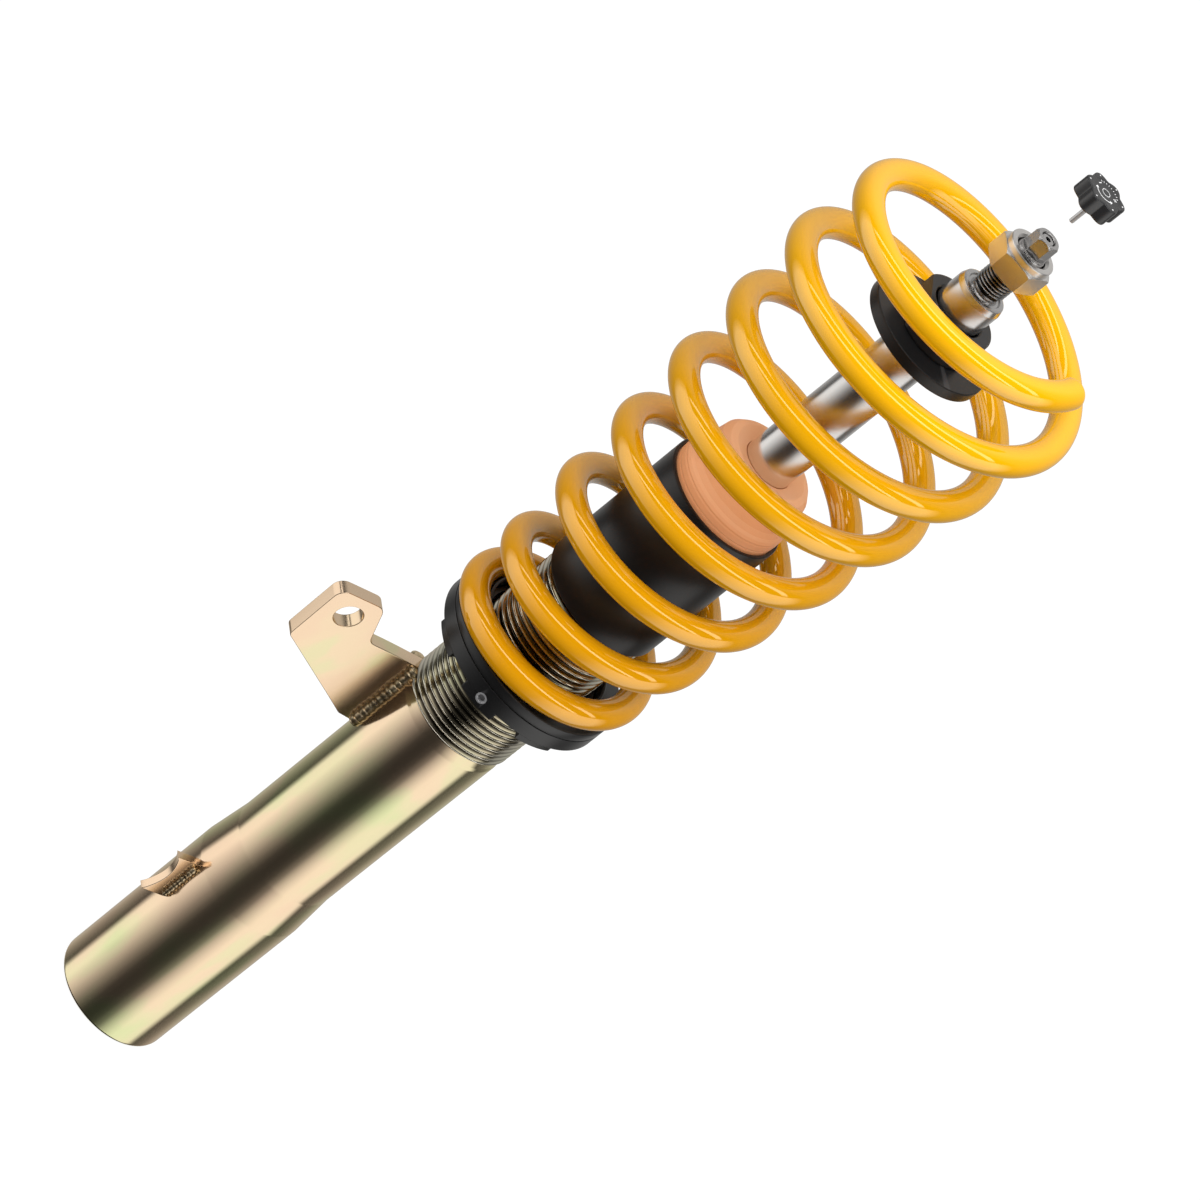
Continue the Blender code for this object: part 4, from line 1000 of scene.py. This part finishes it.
# ------------------------------------------------------------------ rebound adjuster
SPINDLE_TOP = 553.5
spindle = lathe("adjuster_spindle_turned", soft([(0, SPINDLE_TOP), (2.85, SPINDLE_TOP), (2.85, 320.0), (0, 320.0)], 0.35),
                steps=48, solid=True)
boolean(spindle, [tool_prism("socket", 2.4, 542.4, 556, 20.0)])
piece(spindle, ROD_END, "adjuster", "machined_steel", "adjuster_spindle")

# ------------------------------------------------------------------ adjuster knob
KB, KT, LOBES, LOBE_AT, KR, KV = 576.1, 583.8, 6, 20.0, 9.9, 8.1


def lobed(offset):
    pts = []
    n = 240
    for k in range(n):
        az = 360.0 * k / n
        wave = 0.5 + 0.5 * math.cos(rad(LOBES * (az - LOBE_AT)))
        pts.append(Vector(polar(KV + (KR - KV) * wave ** 0.72, az)[:2]))
    out = []
    for k, p in enumerate(pts):
        t = (pts[(k + 1) % n] - pts[k - 1]).normalized()
        out.append(p - Vector((t.y, -t.x)) * offset)
    return out


def ring_at(offset, z):
    return [(p.x, p.y, z) for p in lobed(offset)]


def circle_at(r, z, n=240):
    return [polar(r, 360.0 * k / n, z) for k in range(n)]


rows = [circle_at(1.4, KB + 2.4), circle_at(6.1, KB + 2.4), circle_at(6.3, KB + 2.2), circle_at(6.4, KB + 0.3),
        circle_at(6.6, KB), ring_at(0.75, KB), ring_at(0.62, KB), ring_at(0.3, KB + 0.1), ring_at(0.1, KB + 0.28),
        ring_at(0.0, KB + 0.6), ring_at(0.0, KB + 0.75), ring_at(0.0, KT - 0.8), ring_at(0.0, KT - 0.65),
        ring_at(0.1, KT - 0.3), ring_at(0.3, KT - 0.1), ring_at(0.6, KT), ring_at(0.75, KT), circle_at(6.9, KT),
        circle_at(6.75, KT - 0.02), circle_at(6.6, KT - 0.14), circle_at(6.45, KT - 0.16), circle_at(1.4, KT - 0.16),
        circle_at(1.4, KB + 5.0)]
knob = rings_mesh("lobed_adjuster_knob", rows, closed=True, sharp=35)
piece(knob, KNOB_SIDE, "knob", "black_anodise", "adjuster_knob")
plug = lathe("knob_centre_plug", soft([(0, KT - 0.12), (1.35, KT - 0.12), (1.35, KB + 5.0), (0, KB + 5.0)], 0.15), steps=40,
             solid=True)
piece(plug, KNOB_SIDE, "knob", "black_anodise")


def printed(name, polys, z, mat=PRINT, body="knob", slot="black_anodise"):
    """Flat printed shapes, each a polygon in the knob's plane, 0.04 mm high."""
    verts, faces = [], []
    for poly in polys:
        n = len(poly)
        o = len(verts)
        verts += [(x, y, z) for x, y in poly] + [(x, y, z + 0.04) for x, y in poly]
        faces.append(tuple(range(o + n, o + 2 * n)))
        faces.append(tuple(range(o, o + n))[::-1])
        faces += [(o + k, o + (k + 1) % n, o + n + (k + 1) % n, o + n + k) for k in range(n)]
    ob = finish_mesh(name, verts, faces, 30)
    return piece(ob, mat, body, slot)


def bar(cx, cy, w, h, turn):
    c, s = math.cos(rad(turn)), math.sin(rad(turn))
    return [(cx + x * c - y * s, cy + x * s + y * c) for x, y in
            ((-w / 2, -h / 2), (w / 2, -h / 2), (w / 2, h / 2), (-w / 2, h / 2))]


def arc_bars(r0, r1, a0, a1, n):
    out = []
    for k in range(n):
        b0, b1 = a0 + (a1 - a0) * k / n, a0 + (a1 - a0) * (k + 1) / n
        out.append([polar(r0, b0)[:2], polar(r1, b0)[:2], polar(r1, b1)[:2], polar(r0, b1)[:2]])
    return out


zt = KT - 0.155
marks = []
marks += arc_bars(4.45, 4.80, 215, 325, 22)                      # turning arc
for az, turn in ((215, 1), (325, -1)):                           # its two arrow heads
    tip = Vector(polar(4.62, az - 16 * turn)[:2])
    marks.append([tuple(tip), polar(5.45, az)[:2], polar(3.8, az)[:2]][::turn])
marks += [bar(*polar(4.6, 20)[:2], 1.7, 0.42, 110), bar(*polar(4.6, 20)[:2], 1.7, 0.42, 20)]      # plus
marks += [bar(*polar(4.6, 160)[:2], 1.7, 0.42, 70)]                                               # minus
marks += [bar(*polar(5.8, a)[:2], 0.8, 0.24, a) for a in range(38, 143, 13)]                      # ticks
marks += arc_bars(1.75, 2.0, 0, 360, 48)                                                          # centre ring
printed("knob_marks", marks, zt)
dots = []
for k in range(6):
    c0 = Vector(polar(8.35, LOBE_AT + 60 * k)[:2])
    dots.append([tuple(c0 + Vector(polar(0.34, 30 * j)[:2])) for j in range(12)])
printed("knob_lobe_dots", dots, KT - 0.002)

key = tool_prism("hex_key_shank", 2.0, 565.3, 580.7, LOBE_AT)
bevel(key, 0.15, 2, 40)
piece(key, STEEL, "knob", "machined_steel", "knob_hex_key")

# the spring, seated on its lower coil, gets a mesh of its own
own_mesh(spring)

# ------------------------------------------------------------------ floor
bm = bmesh.new()
bmesh.ops.create_grid(bm, x_segments=2, y_segments=2, size=9.0)
me = bpy.data.meshes.new("floor")
bm.to_mesh(me)
bm.free()
floor = bpy.data.objects.new("studio_floor", me)
bpy.context.scene.collection.objects.link(floor)
floor.location = (0, 0, -0.0004)
fm, t, b = new_mat("pale_studio_floor")
out = t.nodes["Material Output"]
dif = N(t, "ShaderNodeBsdfDiffuse", {"Color": (0.16, 0.16, 0.16, 1)})
emi = N(t, "ShaderNodeEmission", {"Color": (1, 1, 1, 1), "Strength": 0.92})
add = t.nodes.new("ShaderNodeAddShader")
t.links.new(dif.outputs[0], add.inputs[0])
t.links.new(emi.outputs[0], add.inputs[1])
t.links.new(add.outputs[0], out.inputs["Surface"])
me.materials.append(fm)
floor.visible_glossy = False
floor.visible_diffuse = False
floor.visible_shadow = False
floor.visible_transmission = False

# ------------------------------------------------------------------ studio surround
world = bpy.data.worlds.new("studio")
bpy.context.scene.world = world
world.use_nodes = True
world.cycles.sampling_method = 'NONE'
t = world.node_tree
t.nodes.clear()
tc = t.nodes.new("ShaderNodeTexCoord")
sep = N(t, "ShaderNodeSeparateXYZ", {"Vector": tc.outputs["Generated"]})
X, Y, Z = sep.outputs["X"], sep.outputs["Y"], sep.outputs["Z"]
phi = M(t, 'MULTIPLY', M(t, 'ARCTAN2', X, M(t, 'MULTIPLY', Y, -1.0)), 180 / math.pi)
elev = M(t, 'MULTIPLY', M(t, 'ARCSINE', Z), 180 / math.pi)
AZ = [(-180, .50), (-152, .45), (-126, .22), (-114, .12), (-106, .06), (-99, .50), (-94, .97), (-76, .98), (-64, .79),
      (-52, .60), (-41, .40), (-31, .235), (-20, .105), (-10, .035), (0, .022), (10, .024), (20, .045), (31, .16),
      (41, .50), (52, .80), (62, .98), (76, 1.0), (96, .98), (102, .50), (108, .06), (115, .12), (126, .17),
      (152, .45), (180, .50)]
side = ramp(t, M(t, 'MULTIPLY_ADD', phi, 1 / 360.0, 0.5), [(a / 360.0 + 0.5, v) for a, v in AZ])
level = M(t, 'MULTIPLY', step(t, elev, -54, -47), step(t, elev, 21, 26, 1.0, 0.0))
back = step(t, M(t, 'ABSOLUTE', phi), 104, 116)
keep = M(t, 'MAXIMUM', level, back)
panel = M(t, 'MULTIPLY', side, keep)
psi = M(t, 'MULTIPLY', M(t, 'ARCTAN2', Z, M(t, 'MULTIPLY', Y, -1.0)), 180 / math.pi)
reach = step(t, M(t, 'ABSOLUTE', X), 0.80, 0.92, 1.0, 0.0)
strip1 = M(t, 'MULTIPLY', step(t, M(t, 'ABSOLUTE', M(t, 'ADD', psi, -59.0)), 4.2, 6.2, 1.9, 0.0), reach)
strip2 = M(t, 'MULTIPLY', step(t, M(t, 'ABSOLUTE', M(t, 'ADD', psi, -98.0)), 3.6, 5.6, 1.6, 0.0), reach)
glow = M(t, 'ADD', M(t, 'ADD', panel, strip1), M(t, 'ADD', strip2, 0.012))
warm = mix_rgb(t, 1.0, glow, (1.0, 0.985, 0.96), 'MULTIPLY')
lp = t.nodes.new("ShaderNodeLightPath")
ahead = M(t, 'MULTIPLY_ADD', Z, math.sin(rad(58)), M(t, 'MULTIPLY', Y, -math.cos(rad(58))))
soft_fill = M(t, 'MAXIMUM', M(t, 'MULTIPLY_ADD', ahead, 0.44, 0.44), 0.0)
fill = mix_rgb(t, 1.0, soft_fill, (1.0, 0.99, 0.98), 'MULTIPLY')
seen = mix_rgb(t, lp.outputs["Is Glossy Ray"], fill, warm)
seen = mix_rgb(t, lp.outputs["Is Camera Ray"], seen, (1.0, 1.0, 1.0))
bg = N(t, "ShaderNodeBackground", {"Color": seen, "Strength": 1.0})
wo = t.nodes.new("ShaderNodeOutputWorld")
t.links.new(bg.outputs[0], wo.inputs["Surface"])


def area(name, loc, target, size, power, glossy=False, colour=(1, 1, 1)):
    li = bpy.data.lights.new(name, 'AREA')
    li.shape = 'RECTANGLE'
    li.size, li.size_y = size
    li.energy = power
    li.color = colour
    ob = bpy.data.objects.new(name, li)
    ob.location = loc
    ob.rotation_euler = (Vector(target) - Vector(loc)).to_track_quat('-Z', 'Y').to_euler()
    ob.visible_camera = False
    ob.visible_glossy = glossy
    bpy.context.scene.collection.objects.link(ob)
    return ob


area("key_softbox", (0.12, -0.22, 1.05), (0, 0, 0.50), (0.6, 0.6), 4.0)
area("left_softbox", (-0.9, -0.35, 0.55), (0, 0, 0.35), (0.5, 0.9), 1.0)

# ------------------------------------------------------------------ camera
cam_data = bpy.data.cameras.new("camera")
cam = bpy.data.objects.new("camera", cam_data)
bpy.context.scene.collection.objects.link(cam)
cam_data.lens = 174.0
cam_data.sensor_width = 36.0
cam_data.clip_start, cam_data.clip_end = 0.05, 60.0
el = rad(30.8)
target = Vector((0, 0, 0.3048))
loc = target + Vector((0, -math.cos(el), math.sin(el))) * 2.281
turn = (target - loc).to_track_quat('-Z', 'Y').to_matrix().to_4x4()
cam.matrix_world = Matrix.Translation(loc) @ turn @ Matrix.Rotation(rad(51.2), 4, 'Z')
bpy.context.scene.camera = cam

bpy.context.scene.view_settings.view_transform = 'Standard'
bpy.context.scene.view_settings.look = 'None'
